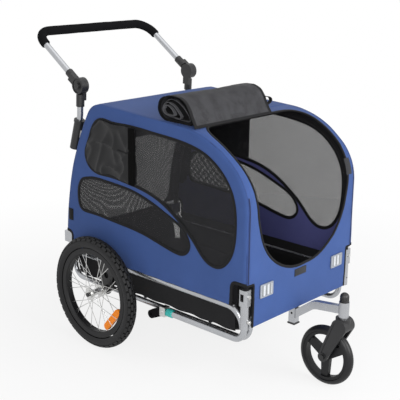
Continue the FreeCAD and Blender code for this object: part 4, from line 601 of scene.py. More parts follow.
def gridded_sheet(low, high, counts, thickness):
    """Flat closed sheet on a grid, its upper face at height 0."""
    sheet = bmesh.new()
    bmesh.ops.create_grid(sheet, x_segments=counts[0], y_segments=counts[1], size=0.5)
    for vert in sheet.verts:
        vert.co.x = low[0] + (vert.co.x + 0.5) * (high[0] - low[0])
        vert.co.y = low[1] + (vert.co.y + 0.5) * (high[1] - low[1])
    return thickened(sheet, list(sheet.faces), -thickness)


sample = gridded_sheet((0, 0), (0.1, 0.1), (10, 10), CLOTH)
print("a blank of 10 by 10 cells has", len(sample.faces), "faces")
sample.free()

# %% [markdown]
# ### Cutting a blank
# The knife is the pattern itself, stretched so that it passes right through the blank. Bisect would
# need one straight cut after another, and Knife Project needs a view to cut from. A Boolean with the
# exact solver cuts curved outlines and windows in one go.

# %% Cutting a blank
CUTTER_STRETCH = 20


def add_cut(blank, name, cutter, operation):
    """Give a blank a Boolean cut, and return the knife."""
    cut = blank.modifiers.new(name, "BOOLEAN")
    cut.operation = operation
    cut.solver = "EXACT"
    cut.object = object_of(name, cutter)
    return cut.object


def cut_pattern(pattern, step, thickness, window=None):
    """Gridded sheet cut to an unfolded piece's outline, with its flat area in square metres."""
    cutter = pattern.copy()
    middle = middle_height(cutter)
    for vert in cutter.verts:
        vert.co.z = (vert.co.z - middle) * CUTTER_STRETCH
    low = [min(vert.co[axis] for vert in cutter.verts) - step / 3 for axis in (0, 1)]
    high = [max(vert.co[axis] for vert in cutter.verts) + step / 3 for axis in (0, 1)]
    counts = [max(2, math.ceil((b - a) / step)) for a, b in zip(low, high)]
    blank = object_of("blank", gridded_sheet(low, high, counts, thickness))
    spares = [blank, add_cut(blank, "outline", cutter, "INTERSECT")]
    if window is not None:
        spares.append(add_cut(blank, "window", window, "DIFFERENCE"))
    cut_blank = blank.evaluated_get(bpy.context.evaluated_depsgraph_get())
    sheet = bmesh.new()
    sheet.from_mesh(bpy.data.meshes.new_from_object(cut_blank))
    for spare in spares:
        bpy.data.objects.remove(spare)
    return sheet, sum(face.calc_area() for face in sheet.faces if face.normal.z > 0.9)


print("the knife is stretched", CUTTER_STRETCH, "times")

# %% [markdown]
# ## Sewing a cover
# A cover hangs a little slack between its seams. That could be simulated as cloth, but a simulation is
# slow and hard to steer towards one given shape. Here an `ease` function says how far the cloth stands out at
# each place on the flat, and the placer then bends it over the frame. The flat pattern is kept as
# a UV map in metres, for the weave.

# %% Sewing a cover
def store_pattern(sheet):
    """Keep the flat pattern as the UV map, in metres."""
    layer = sheet.loops.layers.uv.new("pattern")
    for face in sheet.faces:
        for loop in face.loops:
            loop[layer].uv = (loop.vert.co.x, loop.vert.co.y)


def lay(flat_cloth, place, ease):
    """Let flat cloth or a trim stand out by its ease, and put it in its place on the trailer."""
    store_pattern(flat_cloth)
    for vert in flat_cloth.verts:
        vert.co = place(vert.co + Vector((0, 0, ease(vert.co.x, vert.co.y))))


def make_piece(name, mesh_data, finishes, body="frame"):
    """Turn finished geometry into a named piece that rides on a body."""
    bmesh.ops.recalc_face_normals(mesh_data, faces=mesh_data.faces)
    for face in mesh_data.faces:
        face.smooth = True
        face.material_index = min(face.material_index, len(finishes) - 1)
    for edge in mesh_data.edges:
        edge.smooth = edge.calc_face_angle(0) < SHARP_ANGLE
    piece = object_of(name, mesh_data)
    mesh_data.free()
    for finish in finishes:
        piece.data.materials.append(finish)
    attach(piece, body)
    return piece


print("pieces can be made and laid in place")

# %% [markdown]
# ### Covers
# A cover has a coated outside and another finish inside. Two sheets could be laid back to back, but
# they would poke through each other in the folds. One closed sheet with a second finish on its inner
# face can't, so the inner face is marked while the cloth is still flat.

# %% Covers
def cut_cover(pattern, place, ease, step=0.009, thickness=CLOTH, window=None):
    """Cut a cover and lay it in place. Its inner face is marked for a second finish."""
    sheet, area = cut_pattern(pattern, step, thickness, window)
    for face in sheet.faces:
        face.material_index = 1 if face.normal.z < -0.5 else 0
    lay(sheet, place, ease)
    return sheet, area


def sew_cover(name, pattern, place, ease, finishes, slot="blue_cloth", **cut):
    sheet, area = cut_cover(pattern, place, ease, **cut)
    return make_piece(name, sheet, finishes), area


def ripple(x, y, scale, seed):
    """Smooth random value from 0 to 1."""
    return 0.5 + 0.5 * noise.noise(Vector((x * scale, y * scale, seed)))


print("ripple at the origin", round(ripple(0.0, 0.0, 1.0, 0.5), 3))

# %% [markdown]
# ## Points along a line
# Tapes and stitches lie on lines drawn on the flat cloth. Their points have to be evenly spaced, or
# a trim would bend well in one place and kink in another. Resampling a curve object would do; walking
# along the line keeps it a plain list of points.

# %% Points along a line
def even_points(points, spacing, closed):
    """Points at an even spacing along a flat line."""
    line = points + points[:1] if closed else points
    total = sum((b - a).length for a, b in zip(line, line[1:]))
    count = max(2, round(total / spacing))
    places = []
    walked, index = 0.0, 0
    for number in range(count if closed else count + 1):
        target = total * number / count
        while index < len(line) - 2 and walked + (line[index + 1] - line[index]).length < target:
            walked = walked + (line[index + 1] - line[index]).length
            index = index + 1
        run = line[index + 1] - line[index]
        share = min(1.0, (target - walked) / run.length) if run.length else 0.0
        places.append(line[index] + run * share)
    return places


def stations_along(points, closed):
    """Matrices that stand a section upright on each point of a flat line, its first axis to the left."""
    stations = []
    last = len(points) - 1
    for index, point in enumerate(points):
        ahead = points[(index + 1) % len(points)] if closed or index < last else point
        behind = points[index - 1] if closed or index else point
        run = (ahead - behind).normalized()
        stations.append(Matrix((
            (-run.y, 0, run.x, point.x), (run.x, 0, run.y, point.y), (0, 1, 0, 0), (0, 0, 0, 1))))
    return stations


print("the side outline has", len(even_points(side_outline, 0.006, True)), "places 6 mm apart")

# %% [markdown]
# ## Tapes and cords
# Bindings, seams and piping are all one thing: a small section that follows a line on the cloth.
# A curve with a bevel could make them, but it knows nothing of the flat pattern. So the section
# is extruded from point to point while the line is still flat, and the cloth's own placer bends it.

# %% Tapes and cords
def sweep(mesh_data, section, stations, closed=False):
    """Extrude a section from station to station. A closed sweep is joined, an open one gets end faces."""
    ring = [mesh_data.verts.new(stations[0] @ Vector((*corner, 0))) for corner in section]
    edges = [mesh_data.edges.new(pair) for pair in zip(ring, ring[1:] + ring[:1])]
    start = edges
    for here, there in zip(stations, stations[1:]):
        grown = bmesh.ops.extrude_edge_only(mesh_data, edges=edges)["geom"]
        ring = [item for item in grown if isinstance(item, bmesh.types.BMVert)]
        edges = [item for item in grown if isinstance(item, bmesh.types.BMEdge) and item.is_boundary]
        move = there @ here.inverted()
        for vert in ring:
            vert.co = move @ vert.co
    if closed:
        bmesh.ops.bridge_loops(mesh_data, edges=start + edges)
    else:
        for end in (start, edges):
            bmesh.ops.contextual_create(mesh_data, geom=end)


def tape_section(left, right, low, high):
    """Flat tape with rounded long edges."""
    lip = (high - low) / 3
    return [(right, low + lip), (right + lip, low), (left - lip, low), (left, low + lip),
            (left, high - lip), (left - lip, high), (right + lip, high), (right, high - lip)]


def round_section(radius, height, count=10):
    turns = [2 * math.pi * step / count for step in range(count)]
    return [(radius * math.cos(turn), height + radius * math.sin(turn)) for turn in turns]


print("a round section has", len(round_section(0.003, 0.0)), "corners, a tape", len(tape_section(1, 0, 0, 1)))

# %% [markdown]
# ### Trims
# A trim is one or more sweeps that belong together, such as the bindings of two windows. Each could be
# an object of its own, but they are sewn on in one go and move with the same cloth.

# %% Trims
def lay_trim(name, runs, section, place, ease, finish=binding_tape, spacing=0.006):
    """One trim piece from several flat lines, each a list of points and whether it is closed."""
    trim = bmesh.new()
    for points, closed in runs:
        sweep(trim, section, stations_along(even_points(points, spacing, closed), closed), closed)
    lay(trim, place, ease)
    return make_piece(name, trim, [finish])


def straight(start, end):
    """A flat line between two points, as a trim's run."""
    return [Vector(start), Vector(end)], False


print("trims can be laid on lines such as", straight((0, 0), (0, 1))[0])

# %% [markdown]
# ## Side panels
# Both sides are blue cloth with two windows, lined in navy, with a black band behind the hoop. The
# cloth eases outwards by a few millimetres between its seams, and ripples where it is drawn over the
# rail. The band could be a strip of its own, but it is sewn flat to the lining, so it is made by
# giving the faces near the hoop another finish.

# %% Side panels
SIDE_SLACK = 0.0052
SIDE_PUCKER = 0.0014
HEM_RIPPLE = 0.003
HEM_REACH = 0.11
HOOP_BAND = 0.054
HOOP_BAND_FOOT = 0.500


def side_ease(side):
    """Slack between the seams, and folds that fade out above the hem."""
    seed = 11.0 * side

    def ease(x, z):
        slack = SIDE_SLACK * ripple(x * 1.3, z - 0.5 * x, 5.0, seed)
        pucker = SIDE_PUCKER * ripple(x, z, 17.0, seed + 9)
        near_hem = max(0.0, 1 - (z - side_low.z) / HEM_REACH)
        folds = 0.5 + 0.5 * math.sin(x * 72 + 5 * ripple(x, z, 5.0, seed + 3))
        return slack + pucker + HEM_RIPPLE * near_hem ** 2 * folds
    return ease


hoop_points = [p for p in even_points(side_outline, 0.006, True) if p.y > HOOP_BAND_FOOT]
hoop_edge = kdtree.KDTree(len(hoop_points))
for number, point in enumerate(hoop_points):
    hoop_edge.insert((point.x, point.y, 0), number)
hoop_edge.balance()
side_panels, side_areas, side_trims = {}, {}, {}
for name, side in SIDES:
    panel, side_areas[name] = sew_cover(
        name + "_side_panel", unfolded(name + "_side_cover", off_side), onto_side(side), side_ease(side),
        [blue_cloth, navy_lining, black_cloth])
    for face in panel.data.polygons:
        if face.material_index == 1 and hoop_edge.find((face.center.x, face.center.z, 0))[2] < HOOP_BAND:
            face.material_index = 2
    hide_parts(name + "_side_cover")
    side_panels[name], side_trims[name] = panel, []
    print(panel.name, round(side_areas[name], 3), "m2")

# %% [markdown]
# ### Bindings of the side panels
# Cut cloth frays, so a folded black tape binds each window and the two cut-outs at the lower corners,
# where the brackets come through. The tape could be a second finish on the panel, but it stands proud
# on both faces and catches the light, so it is a piece of its own.

# %% Bindings of the side panels
BINDING_WIDTH = 0.011
BINDING_LAP = 0.003
BINDING_PROUD = 0.0016
FRONT_CUT_OUT = (0.060, 0.075)
REAR_CUT_OUT = (0.040, 0.065)


def binding_section(left, right):
    return tape_section(left, right, -CLOTH - BINDING_PROUD, BINDING_PROUD)


def stretch_of(loop, keep):
    """The longest run of an outline's points that a test keeps."""
    first = [keep(point) for point in loop].index(False)
    runs, run = [], []
    for point in loop[first:] + loop[:first]:
        if keep(point):
            run.append(point)
        elif run:
            runs.append(run)
            run = []
    runs.append(run)
    return max(runs, key=len)


def in_front_corner(p):
    return p.x > side_high.x - FRONT_CUT_OUT[0] and p.y < side_low.z + FRONT_CUT_OUT[1]


def in_rear_corner(p):
    return p.x < side_low.x + REAR_CUT_OUT[0] and p.y < side_low.z + REAR_CUT_OUT[1]


corner_runs = [(stretch_of(side_outline, test), False) for test in (in_front_corner, in_rear_corner)]
for name, side in SIDES:
    for label, runs, section in (
            ("_window_bindings", [(upper_window, True), (lower_window, True)],
             binding_section(BINDING_LAP, BINDING_LAP - BINDING_WIDTH)),
            ("_corner_bindings", corner_runs, binding_section(0.009, -0.002))):
        side_trims[name].append(lay_trim(name + label, runs, section, onto_side(side), side_ease(side)))
print("side bindings:", [trim.name for trims in side_trims.values() for trim in trims])

# %% [markdown]
# ### Stitches and rear tab
# A row of stitches holds the hem and runs round each window outside its binding, and a short black tab
# is sewn on near the rear edge. Stitches could be a bump on the cloth, but close up they are small
# cords with gaps between them, so each one is a thin rod, made by Cone with two equal radii.

# %% Stitches and rear tab
STITCH_LENGTH = 0.0042
STITCH_GAP = 0.0022
STITCH_RADIUS = 0.0005
STITCH_MARGIN = 0.013
HEM_RISE = 0.016
TAB_LOW, TAB_HIGH, TAB_WIDTH = 0.422, 0.465, 0.024


def stitch_row(name, lines, place, ease):
    """Rows of small stitches that lie on the cloth, each a short five-sided rod."""
    row = bmesh.new()
    for points, closed in lines:
        ends = even_points(points, (STITCH_LENGTH + STITCH_GAP) / 2, closed)
        for start, end in zip(ends[::2], ends[1::2]):
            run, middle = (end - start).normalized(), (start + end) / 2
            laid_down = Matrix((
                (0, -run.y, -run.x, middle.x), (0, run.x, -run.y, middle.y),
                (1, 0, 0, STITCH_RADIUS * 0.6), (0, 0, 0, 1)))
            bmesh.ops.create_cone(
                row, cap_ends=True, segments=5, radius1=STITCH_RADIUS, radius2=STITCH_RADIUS,
                depth=(end - start).length, matrix=laid_down)
    lay(row, place, ease)
    return make_piece(name, row, [thread_finish])


def spread_outline(outline, margin):
    """An outline moved away from its middle."""
    middle = sum(outline, Vector((0, 0))) / len(outline)
    return [point + (point - middle).normalized() * margin for point in outline]


hem_z = side_low.z + HEM_RISE
side_rows = [straight((side_low.x + 0.045, hem_z), (side_high.x - 0.070, hem_z))]
for window in (upper_window, lower_window):
    side_rows.append((even_points(spread_outline(window, STITCH_MARGIN), 0.01, True), True))
tab_x = side_low.x + 0.030
for name, side in SIDES:
    place, ease = onto_side(side), side_ease(side)
    side_trims[name].append(stitch_row(name + "_panel_stitches", side_rows, place, ease))
    side_trims[name].append(lay_trim(
        name + "_rear_tab", [straight((tab_x, TAB_LOW), (tab_x, TAB_HIGH))],
        tape_section(TAB_WIDTH / 2, -TAB_WIDTH / 2, 0.0002, 0.0022), place, ease))
    print(name, "panel has trims:", len(side_trims[name]))

# %% [markdown]
# ### Side windows
# A thin sheet of mesh is sewn behind each window. It could be left out where it hardly shows, but it is
# what makes the cabin look dark from outside and light from within. It takes the same ease as the
# panel, so that the two stay together.

# %% Side windows
MESH_CLOTH = 0.0006
MESH_BEHIND = 0.0004


def behind(ease):
    """The ease of a sheet that lies just behind the cloth."""
    return lambda x, y: ease(x, y) - CLOTH - MESH_BEHIND


for name, side in SIDES:
    for pick, level in enumerate(("upper", "lower")):
        pattern = unfolded(name + "_mesh_windows", off_side, pick=pick)
        reach = [max(vert.co[axis] for vert in pattern.verts) - min(vert.co[axis] for vert in pattern.verts)
                 for axis in (0, 1)]
        screen, area = sew_cover(
            name + "_" + level + "_mesh", pattern, onto_side(side), behind(side_ease(side)),
            [window_mesh if name == "right" else bias_mesh], "black_mesh", thickness=MESH_CLOTH)
        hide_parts(name + "_mesh_windows")
        print(screen.name, [round(value, 3) for value in reach], round(area, 3), "m2")

# %% [markdown]
# ## Side pockets
# A charcoal pocket fills the rear of each upper window. Its cloth is slack and hangs in soft creases,
# with a short slit near the front. Creases could be sculpted; the sharp ridges that appear where noise
# crosses zero do the same with no hand work. Both pockets are one CAD node, so they are one piece here.

# %% Side pockets
POCKET_SLIT = ((0.084, 0.0), (0.062, -0.003), (0.040, -0.004), (0.016, -0.001))
POCKET_SLIT_Z = 0.725
POCKET_STEP = 0.006
pocket_low, pocket_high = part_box("side_pockets")


def pocket_ease(x, z):
    fold = abs(noise.noise(Vector((x * 9 + z * 5, z * 11, 4.0))))
    cross = abs(noise.noise(Vector((x * 16 - z * 10, z * 7, 9.0))))
    creases = 0.0095 * (1 - fold) ** 5 + 0.0065 * (1 - cross) ** 5
    below_slit = max(0.0, 1 - abs(z - POCKET_SLIT_Z + 0.02) / 0.05)
    return 0.0008 + creases + 0.0012 * below_slit


def sew_pair(name, node, flatten, placer, ease, finish, **cut):
    """One piece from a right and a left half, with the area of both."""
    pair = bmesh.new()
    pair.loops.layers.uv.new("pattern")
    total = 0.0
    for label, side in SIDES:
        half, area = cut_cover(unfolded(node, flatten, side), placer(side), ease, **cut)
        spare = bpy.data.meshes.new(label)
        half.to_mesh(spare)
        pair.from_mesh(spare)
        bpy.data.meshes.remove(spare)
        total = total + area
    piece = make_piece(name, pair, [finish])
    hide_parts(node)
    return piece, total


pockets, pocket_area = sew_pair(
    "pockets", "side_pockets", off_side, onto_side, pocket_ease, pocket_cloth, step=POCKET_STEP)
print("pocket cloth", round(pocket_area, 3), "m2")

# %% [markdown]
# ### Trims of the pockets
# A narrow hem edges the slit, and a broad near-black strip, a painted shadow, runs along the pocket's
# front edge from the top of the window to its foot. Its ends have to meet the binding, so its height is
# read from the window's outline instead of being guessed.

# %% Trims of the pockets
POCKET_HEM_HALF = 0.0025
POCKET_SHADOW_WIDTH = 0.030
POCKET_SHADOW_LIFT = 0.010


def crossing_heights(loop, x):
    """Heights where an outline crosses a vertical line."""
    found = []
    for a, b in zip(loop, loop[1:] + loop[:1]):
        if (a.x - x) * (b.x - x) < 0:
            found.append(a.y + (b.y - a.y) * (x - a.x) / (b.x - a.x))
    return sorted(found)


slit = [Vector((pocket_high.x - back, POCKET_SLIT_Z + rise)) for back, rise in POCKET_SLIT]
shadow_strip_x = pocket_high.x - POCKET_SHADOW_WIDTH / 2
heights = crossing_heights(upper_window, shadow_strip_x)
strip = straight((shadow_strip_x, heights[0]), (shadow_strip_x, heights[-1]))
# The broad strip is painted shadow: a near-black tape along the pocket's front edge, raised so nothing covers
# it.
for name, side in SIDES:
    lay_trim(
        name + "_pocket_hem", [(slit, False)],
        tape_section(POCKET_HEM_HALF, -POCKET_HEM_HALF, 0.0002, 0.0022), onto_side(side), pocket_ease)
    lay_trim(
        name + "_pocket_shadow_strip", [strip],
        tape_section(POCKET_SHADOW_WIDTH / 2, -POCKET_SHADOW_WIDTH / 2, 0.0012, 0.0036), onto_side(side),
        lambda x, z: POCKET_SHADOW_LIFT, gap_shadow_cloth)
print("pocket strips from", [round(value, 3) for value in heights])

# %% [markdown]
# ## Front panel
# The front panel is bent over the brow and has the door opening cut into it. Folds gather near its
# corners, where the cloth is drawn round the hoops; the roof sags between its bars, so that the roll
# lies in a shallow dip. One ease function serves the whole band, so that the panels meet at their
# seams at the same height.

# %% Front panel
ROOF_SAG = 0.004
FRONT_SLACK = 0.0022
FRONT_FOLDS = 0.0040
BACK_SLACK = 0.003


def band_ease(seed):
    def ease(across, along):
        edge = max(0.0, 1 - (abs(across) / panel_in_y) ** 4)
        soft = ripple(across, along, 7.0, seed)
        if BROW_END < along < ROOF_END:
            share = (along - BROW_END) / (ROOF_END - BROW_END)
            uneven = 0.7 + 0.3 * ripple(across, along, 9.0, seed)
            return -ROOF_SAG * edge * math.sin(math.pi * share) * uneven
        if along <= BROW_END:
            from_seams = min(1.0, along / 0.05) * min(1.0, (BROW_END - along) / 0.05)
            fold = abs(noise.noise(Vector((across * 13 - along * 5, along * 9, seed))))
            outer = min(1.0, abs(across) / panel_in_y) ** 2
            return edge * from_seams * (FRONT_SLACK * soft + FRONT_FOLDS * outer * (1 - fold) ** 4)
        return BACK_SLACK * edge * min(1.0, (along - ROOF_END) / 0.08) * soft
    return ease


front_ease, roof_ease, back_ease = band_ease(2.0), band_ease(5.0), band_ease(8.0)
front_pattern = unfolded("front_cover", unwrap)
front_outline, opening = outline_loops(front_pattern)[:2]
front_length = max(point.y for point in front_outline)
front, front_area = sew_cover("front_panel", front_pattern, wrap, front_ease, [blue_cloth, navy_lining])
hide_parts("front_cover")
print("front", round(front_area, 3), "m2, along the profile", round(front_length, 3), "m")

# %% [markdown]
# ### Trims of the front panel
# The door opening has a bound edge, and behind it the broad tape of a zip. The lower corners are bound
# like the sides, a dark seam runs up beside each corner, and stitches hold the foot and the side seams.
# All are sweeps along lines on the flat pattern, as a seamstress would chalk them.

# %% Trims of the front panel
CORNER_TOP = 0.144
CORNER_WIDTH = 0.032
CORNER_LAP = 0.004
SEAM_INSET = 0.006
SEAM_HALF = 0.0022
STITCH_INSET = 0.014
FOOT_INSET, FOOT_RISE = 0.040, 0.013

front_trims = [
    lay_trim("door_binding", [(opening, True)], binding_section(0.003, -0.006), wrap, front_ease),
    lay_trim("door_zip_tape", [(opening, True)], tape_section(-0.004, -0.030, -0.0046, -0.0028),
             wrap, front_ease)]
front_corners, side_seams, corner_seams = [], [], []
for side in (-1, 1):
    inner, seam, stitch = [side * (panel_in_y - inset) for inset in (CORNER_WIDTH, SEAM_INSET, STITCH_INSET)]
    corner = ((inner, 0.0), (inner, CORNER_TOP), (side * panel_in_y, CORNER_TOP))
    front_corners.append(([Vector(point) for point in corner], False))
    side_seams.append(straight((stitch, CORNER_TOP + 0.01), (stitch, BROW_END)))
    corner_seams.append(straight((seam, CORNER_TOP + 0.006), (seam, FRONT_STRAIGHT + 0.05)))
front_trims.append(lay_trim(
    "front_corner_bindings", front_corners, binding_section(CORNER_LAP, -CORNER_LAP), wrap, front_ease))
foot = straight((FOOT_INSET - panel_in_y, FOOT_RISE), (panel_in_y - FOOT_INSET, FOOT_RISE))
front_trims.append(stitch_row("front_stitches", [foot] + side_seams, wrap, front_ease))
front_trims.append(lay_trim(
    "front_corner_seams", corner_seams, tape_section(SEAM_HALF, -SEAM_HALF, -0.0004, 0.0012), wrap,
    front_ease, seam_cloth))
print("trims of the front so far:", [trim.name for trim in front_trims])

# %% [markdown]
# ### Hook patches and reflector frames
# Two grey hook patches hold the door when it is closed, and a grey frame holds each front reflector.
# A patch is a very wide tape; a frame is a tape that runs round the lens. So both need no new tool.

# %% Hook patches and reflector frames
HOOK_PATCHES = (
    ("lip_hook_patch", -0.012, 0.126, 0.062, 0.024),
    ("side_hook_patch", 0.247, 0.432, 0.030, 0.056),
)
FRAME_HALF = 0.0026
for name, across, along, width, height in HOOK_PATCHES:
    front_trims.append(lay_trim(
        name, [straight((across, along - height / 2), (across, along + height / 2))],
        tape_section(width / 2, -width / 2, 0.0002, 0.0024), wrap, front_ease, grey_tape))
lens_low, lens_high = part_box("front_reflectors")
lens_in = min(abs(vert.co.y) for vert in nodes["front_reflectors"].data.vertices)
lens_corners = ((lens_in, lens_low.z), (lens_high.y, lens_low.z), (lens_high.y, lens_high.z),
                (lens_in, lens_high.z))
frame_runs = []
for side in (-1, 1):
    corners = [Vector((side * y, z - front_low.z)) for y, z in lens_corners]
    frame_runs.append((corners[::side], True))
front_trims.append(lay_trim(
    "reflector_frames", frame_runs, tape_section(FRAME_HALF, -FRAME_HALF, 0.0002, 0.0062), wrap,
    front_ease, frame_grey, spacing=0.0045))
print("reflector frames", round(lens_high.y - lens_in, 3), "m wide")

# %% [markdown]
# ## Back panel
# The back closes the band behind the roof and has a mesh window of its own. Seen through a side window,
# the two meshes cross. The window isn't in the CAD cover, so it is punched out of the sheet with
# a second knife, drawn as a rectangle with rounded corners.

# %% Back panel
REAR_WINDOW_HALF = 0.245
REAR_WINDOW_TOP = 0.150
REAR_WINDOW_FOOT = 0.050
REAR_WINDOW_RADIUS = 0.055
WINDOW_KNIFE = 0.040


def rounded_outline(low, high, radius, steps=8):
    """Rectangle with rounded corners, anticlockwise."""
    centres = ((high[0] - radius, high[1] - radius), (low[0] + radius, high[1] - radius),
               (low[0] + radius, low[1] + radius), (high[0] - radius, low[1] + radius))
    return [Vector(centre) + direction(math.pi / 2 * (number + step / steps)) * radius
            for number, centre in enumerate(centres) for step in range(steps + 1)]


def plate_of(outline, reach):
    """Flat plate with a given outline, used as a pattern or as the knife for a window."""
    plate = bmesh.new()
    face = plate.faces.new([plate.verts.new((point.x, point.y, -reach)) for point in outline])
    return thickened(plate, [face], 2 * reach)


back_pattern = unfolded("back_cover", unwrap)
back_outline = outline_loops(back_pattern)[0]
back_start = min(point.y for point in back_outline)
back_end = max(point.y for point in back_outline)
rear_low = (-REAR_WINDOW_HALF, back_start + REAR_WINDOW_TOP)
rear_high = (REAR_WINDOW_HALF, back_end - REAR_WINDOW_FOOT)
rear_window = rounded_outline(rear_low, rear_high, REAR_WINDOW_RADIUS)
back, back_area = sew_cover("back_panel", back_pattern, wrap, back_ease, [blue_cloth, black_cloth],
                            window=plate_of(rear_window, WINDOW_KNIFE))
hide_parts("back_cover")
print("back", round(back_area, 3), "m2")

# %% [markdown]
# ### Trims and mesh of the back
# The rear window is bound like the side windows, and its mesh is a plain plate, a little larger than
# the window, cut and wrapped as a cover is. A row of stitches holds the hem.

# %% Trims and mesh of the back
REAR_MESH_LAP = 0.006
BACK_HEM_HALF, BACK_HEM_RISE = 0.21, 0.014
back_hem = straight((-BACK_HEM_HALF, back_end - BACK_HEM_RISE), (BACK_HEM_HALF, back_end - BACK_HEM_RISE))
back_trims = [
    stitch_row("back_stitches", [back_hem], wrap, back_ease),
    lay_trim("rear_window_binding", [(rear_window, True)],
             binding_section(BINDING_LAP, BINDING_LAP - BINDING_WIDTH), wrap, back_ease)]
min(back_area, 2 * panel_in_y * (back_end - back_start))
rear_mesh_plate = plate_of(rounded_outline(
    [value - REAR_MESH_LAP for value in rear_low], [value + REAR_MESH_LAP for value in rear_high],
    REAR_WINDOW_RADIUS + REAR_MESH_LAP), CLOTH)
rear_mesh, rear_area = sew_cover("rear_mesh", rear_mesh_plate, wrap, behind(back_ease), [sheer_mesh],
                                 "black_mesh", thickness=MESH_CLOTH)
print("rear window", round(rear_area, 3), "m2")

# %% [markdown]
# ## Roof panel
# The roof lies between two flat seams. Piping, a covered cord, runs along both side seams from one
# corner cut-out to the other. It could be drawn as a bevelled curve on the finished cabin; swept on the
# flat and wrapped with the rest, it follows the seam round the brow by itself.

# %% Roof panel
ROOF_SEAM_HALF = 0.006
ROOF_SEAM_INSET = 0.004
PIPING_RADIUS = 0.0032
PIPING_OUT = 0.0008
PIPING_END = 0.056
roof, roof_area = sew_cover(
    "roof_panel", unfolded("roof_cover", unwrap), wrap, roof_ease, [blue_cloth, navy_lining])
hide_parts("roof_cover")
seam_y = panel_in_y - ROOF_SEAM_INSET
seam_lines = [straight((-seam_y, along), (seam_y, along)) for along in (front_length, back_start)]
piping_y = panel_in_y + PIPING_OUT
piping_runs = [straight((side * piping_y, CORNER_TOP + 0.004), (side * piping_y, back_end - PIPING_END))
               for side in (-1, 1)]
roof_trims = [
    lay_trim("roof_seams", seam_lines, tape_section(ROOF_SEAM_HALF, -ROOF_SEAM_HALF, -0.0002, 0.0010),
             wrap, roof_ease, blue_cloth),
    lay_trim("side_seam_piping", piping_runs, round_section(PIPING_RADIUS, -0.0004), wrap,
             lambda across, along: 0.0, piping_cloth)]
roof_size = (2 * panel_in_y, back_start - front_length)
min(roof_area, roof_size[0] * roof_size[1])
print("roof", round(roof_area, 3), "m2")

# %% [markdown]
# ## Skirts below the rail
# A strip of black cloth hangs from each upper rail and closes the gap to the floor. Its upper edge is
# held and its lower edge is free, so the waves grow from nothing at the rail towards the hem. A cloth
# simulation would find the same, with more trouble.

# %% Skirts
SKIRT_WAVE = 0.0035
skirt_low, skirt_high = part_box("skirts")
rail_low, rail_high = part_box("left_upper_rail")
rail_y = (rail_low.y + rail_high.y) / 2


def off_rail(point):
    return Vector((point.x, point.z, abs(point.y) - rail_y - CLOTH / 2))


def onto_rail(side):
    return lambda flat: Vector((flat.x, side * (rail_y + CLOTH / 2 + flat.z), flat.y))


def skirt_ease(x, z):
    drop = (skirt_high.z - z) / (skirt_high.z - skirt_low.z)
    return SKIRT_WAVE * drop * math.sin(x * 55 + 4 * ripple(x, z, 4.0, 2.0))


skirts, skirt_area = sew_pair("rail_skirts", "skirts", off_rail, onto_rail, skirt_ease, black_cloth)
print("skirts", round(skirt_area, 3), "m2")

# %% [markdown]
# ## Linings inside the cabin
# Inside, a strip of black lining covers each upper rail, from the floor board up to the side panel, and
# a short one closes each front corner behind its post. Boxes could block the light there too, but they
# would show through the mesh. A thin sheet with one section from end to end looks like what it is.

# %% Linings inside the cabin
LINING_CLOTH = 0.0012
LINING_STEP = 0.010
LINING_WAVE = 0.0015
LINING_RISE = 0.046
LINING_GAP = 0.003
CORNER_RISE = 0.020
CUT_OUT_HEIGHT = 0.080
floor_low, floor_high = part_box("floor_board")
post_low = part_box("left_front_post")[0]
rail_in_y = rail_y - (rail_high.y - rail_low.y) / 2 - LINING_GAP
post_in_y = min(rail_in_y, post_low.y - LINING_GAP)
lining_foot = floor_high.z + 0.0004
lining_out_y = panel_in_y - 0.004
lining_front = front_high.x - 0.062
cut_top = side_low.z + CUT_OUT_HEIGHT


def hang_lining(name, line, ends, place):
    """Black sheet that follows a flat line, with the same section from one end to the other."""
    lining = bmesh.new()
    line = [Vector(point) for point in line]
    section = ((0.0, ends[0]), (LINING_CLOTH, ends[0]), (LINING_CLOTH, ends[1]), (0.0, ends[1]))
    sweep(lining, section, stations_along(even_points(line, LINING_STEP, False), False))
    lay(lining, place, lambda x, y: 0.0)
    size = (ends[1] - ends[0], sum((b - a).length for a, b in zip(line, line[1:])))
    make_piece(name, lining, [black_cloth])
    print(name, [round(value, 3) for value in size], "m")


def along_side(side):
    def place(flat):
        wave = LINING_WAVE * ripple(flat.z, flat.y, 11.0, 3.0 * side)
        return Vector((flat.z, side * (flat.x - wave), flat.y))
    return place


for name, side in SIDES:
    hang_lining(name + "_floor_lining", (
        (rail_in_y, lining_foot), (rail_in_y, skirt_high.z), (lining_out_y, skirt_high.z + LINING_RISE)),
        (floor_low.x + 0.030, lining_front), along_side(side))
    hang_lining(name + "_corner_lining", (
        (post_in_y, lining_foot), (post_in_y, cut_top), (lining_out_y, cut_top + CORNER_RISE)),
        (lining_front + 0.001, lining_front + 0.052), along_side(side))

# %% [markdown]
# ### Rear skirt and front flaps
# A skirt closes the gap between the back panel and the floor board, and a flap on each side of the
# caster leg closes the gap to the front panel. They are the same kind of sheet, turned to run across
# the cabin, so the helper above makes them too.

# %% Rear skirt and front flaps
SKIRT_INSET = 0.004
FLAP_INSET = 0.012
FLOOR_LIFT = 0.0015
leg_low, leg_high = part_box("caster_leg")
back_foot = path_at(PROFILE, back_end - 0.020)[0]
front_foot = path_at(PROFILE, 0.016)[0]
skirt_half = rail_in_y - SKIRT_INSET
flap_half = skirt_half - FLAP_INSET
rear_line = ((back_foot.x + 0.007, back_foot.y), (floor_low.x + 0.006, floor_high.z + FLOOR_LIFT))
flap_line = ((front_foot.x - 0.006, front_foot.y), (floor_high.x - 0.010, floor_high.z + FLOOR_LIFT))


def across_cabin(flat):
    return Vector((flat.x, flat.z, flat.y))


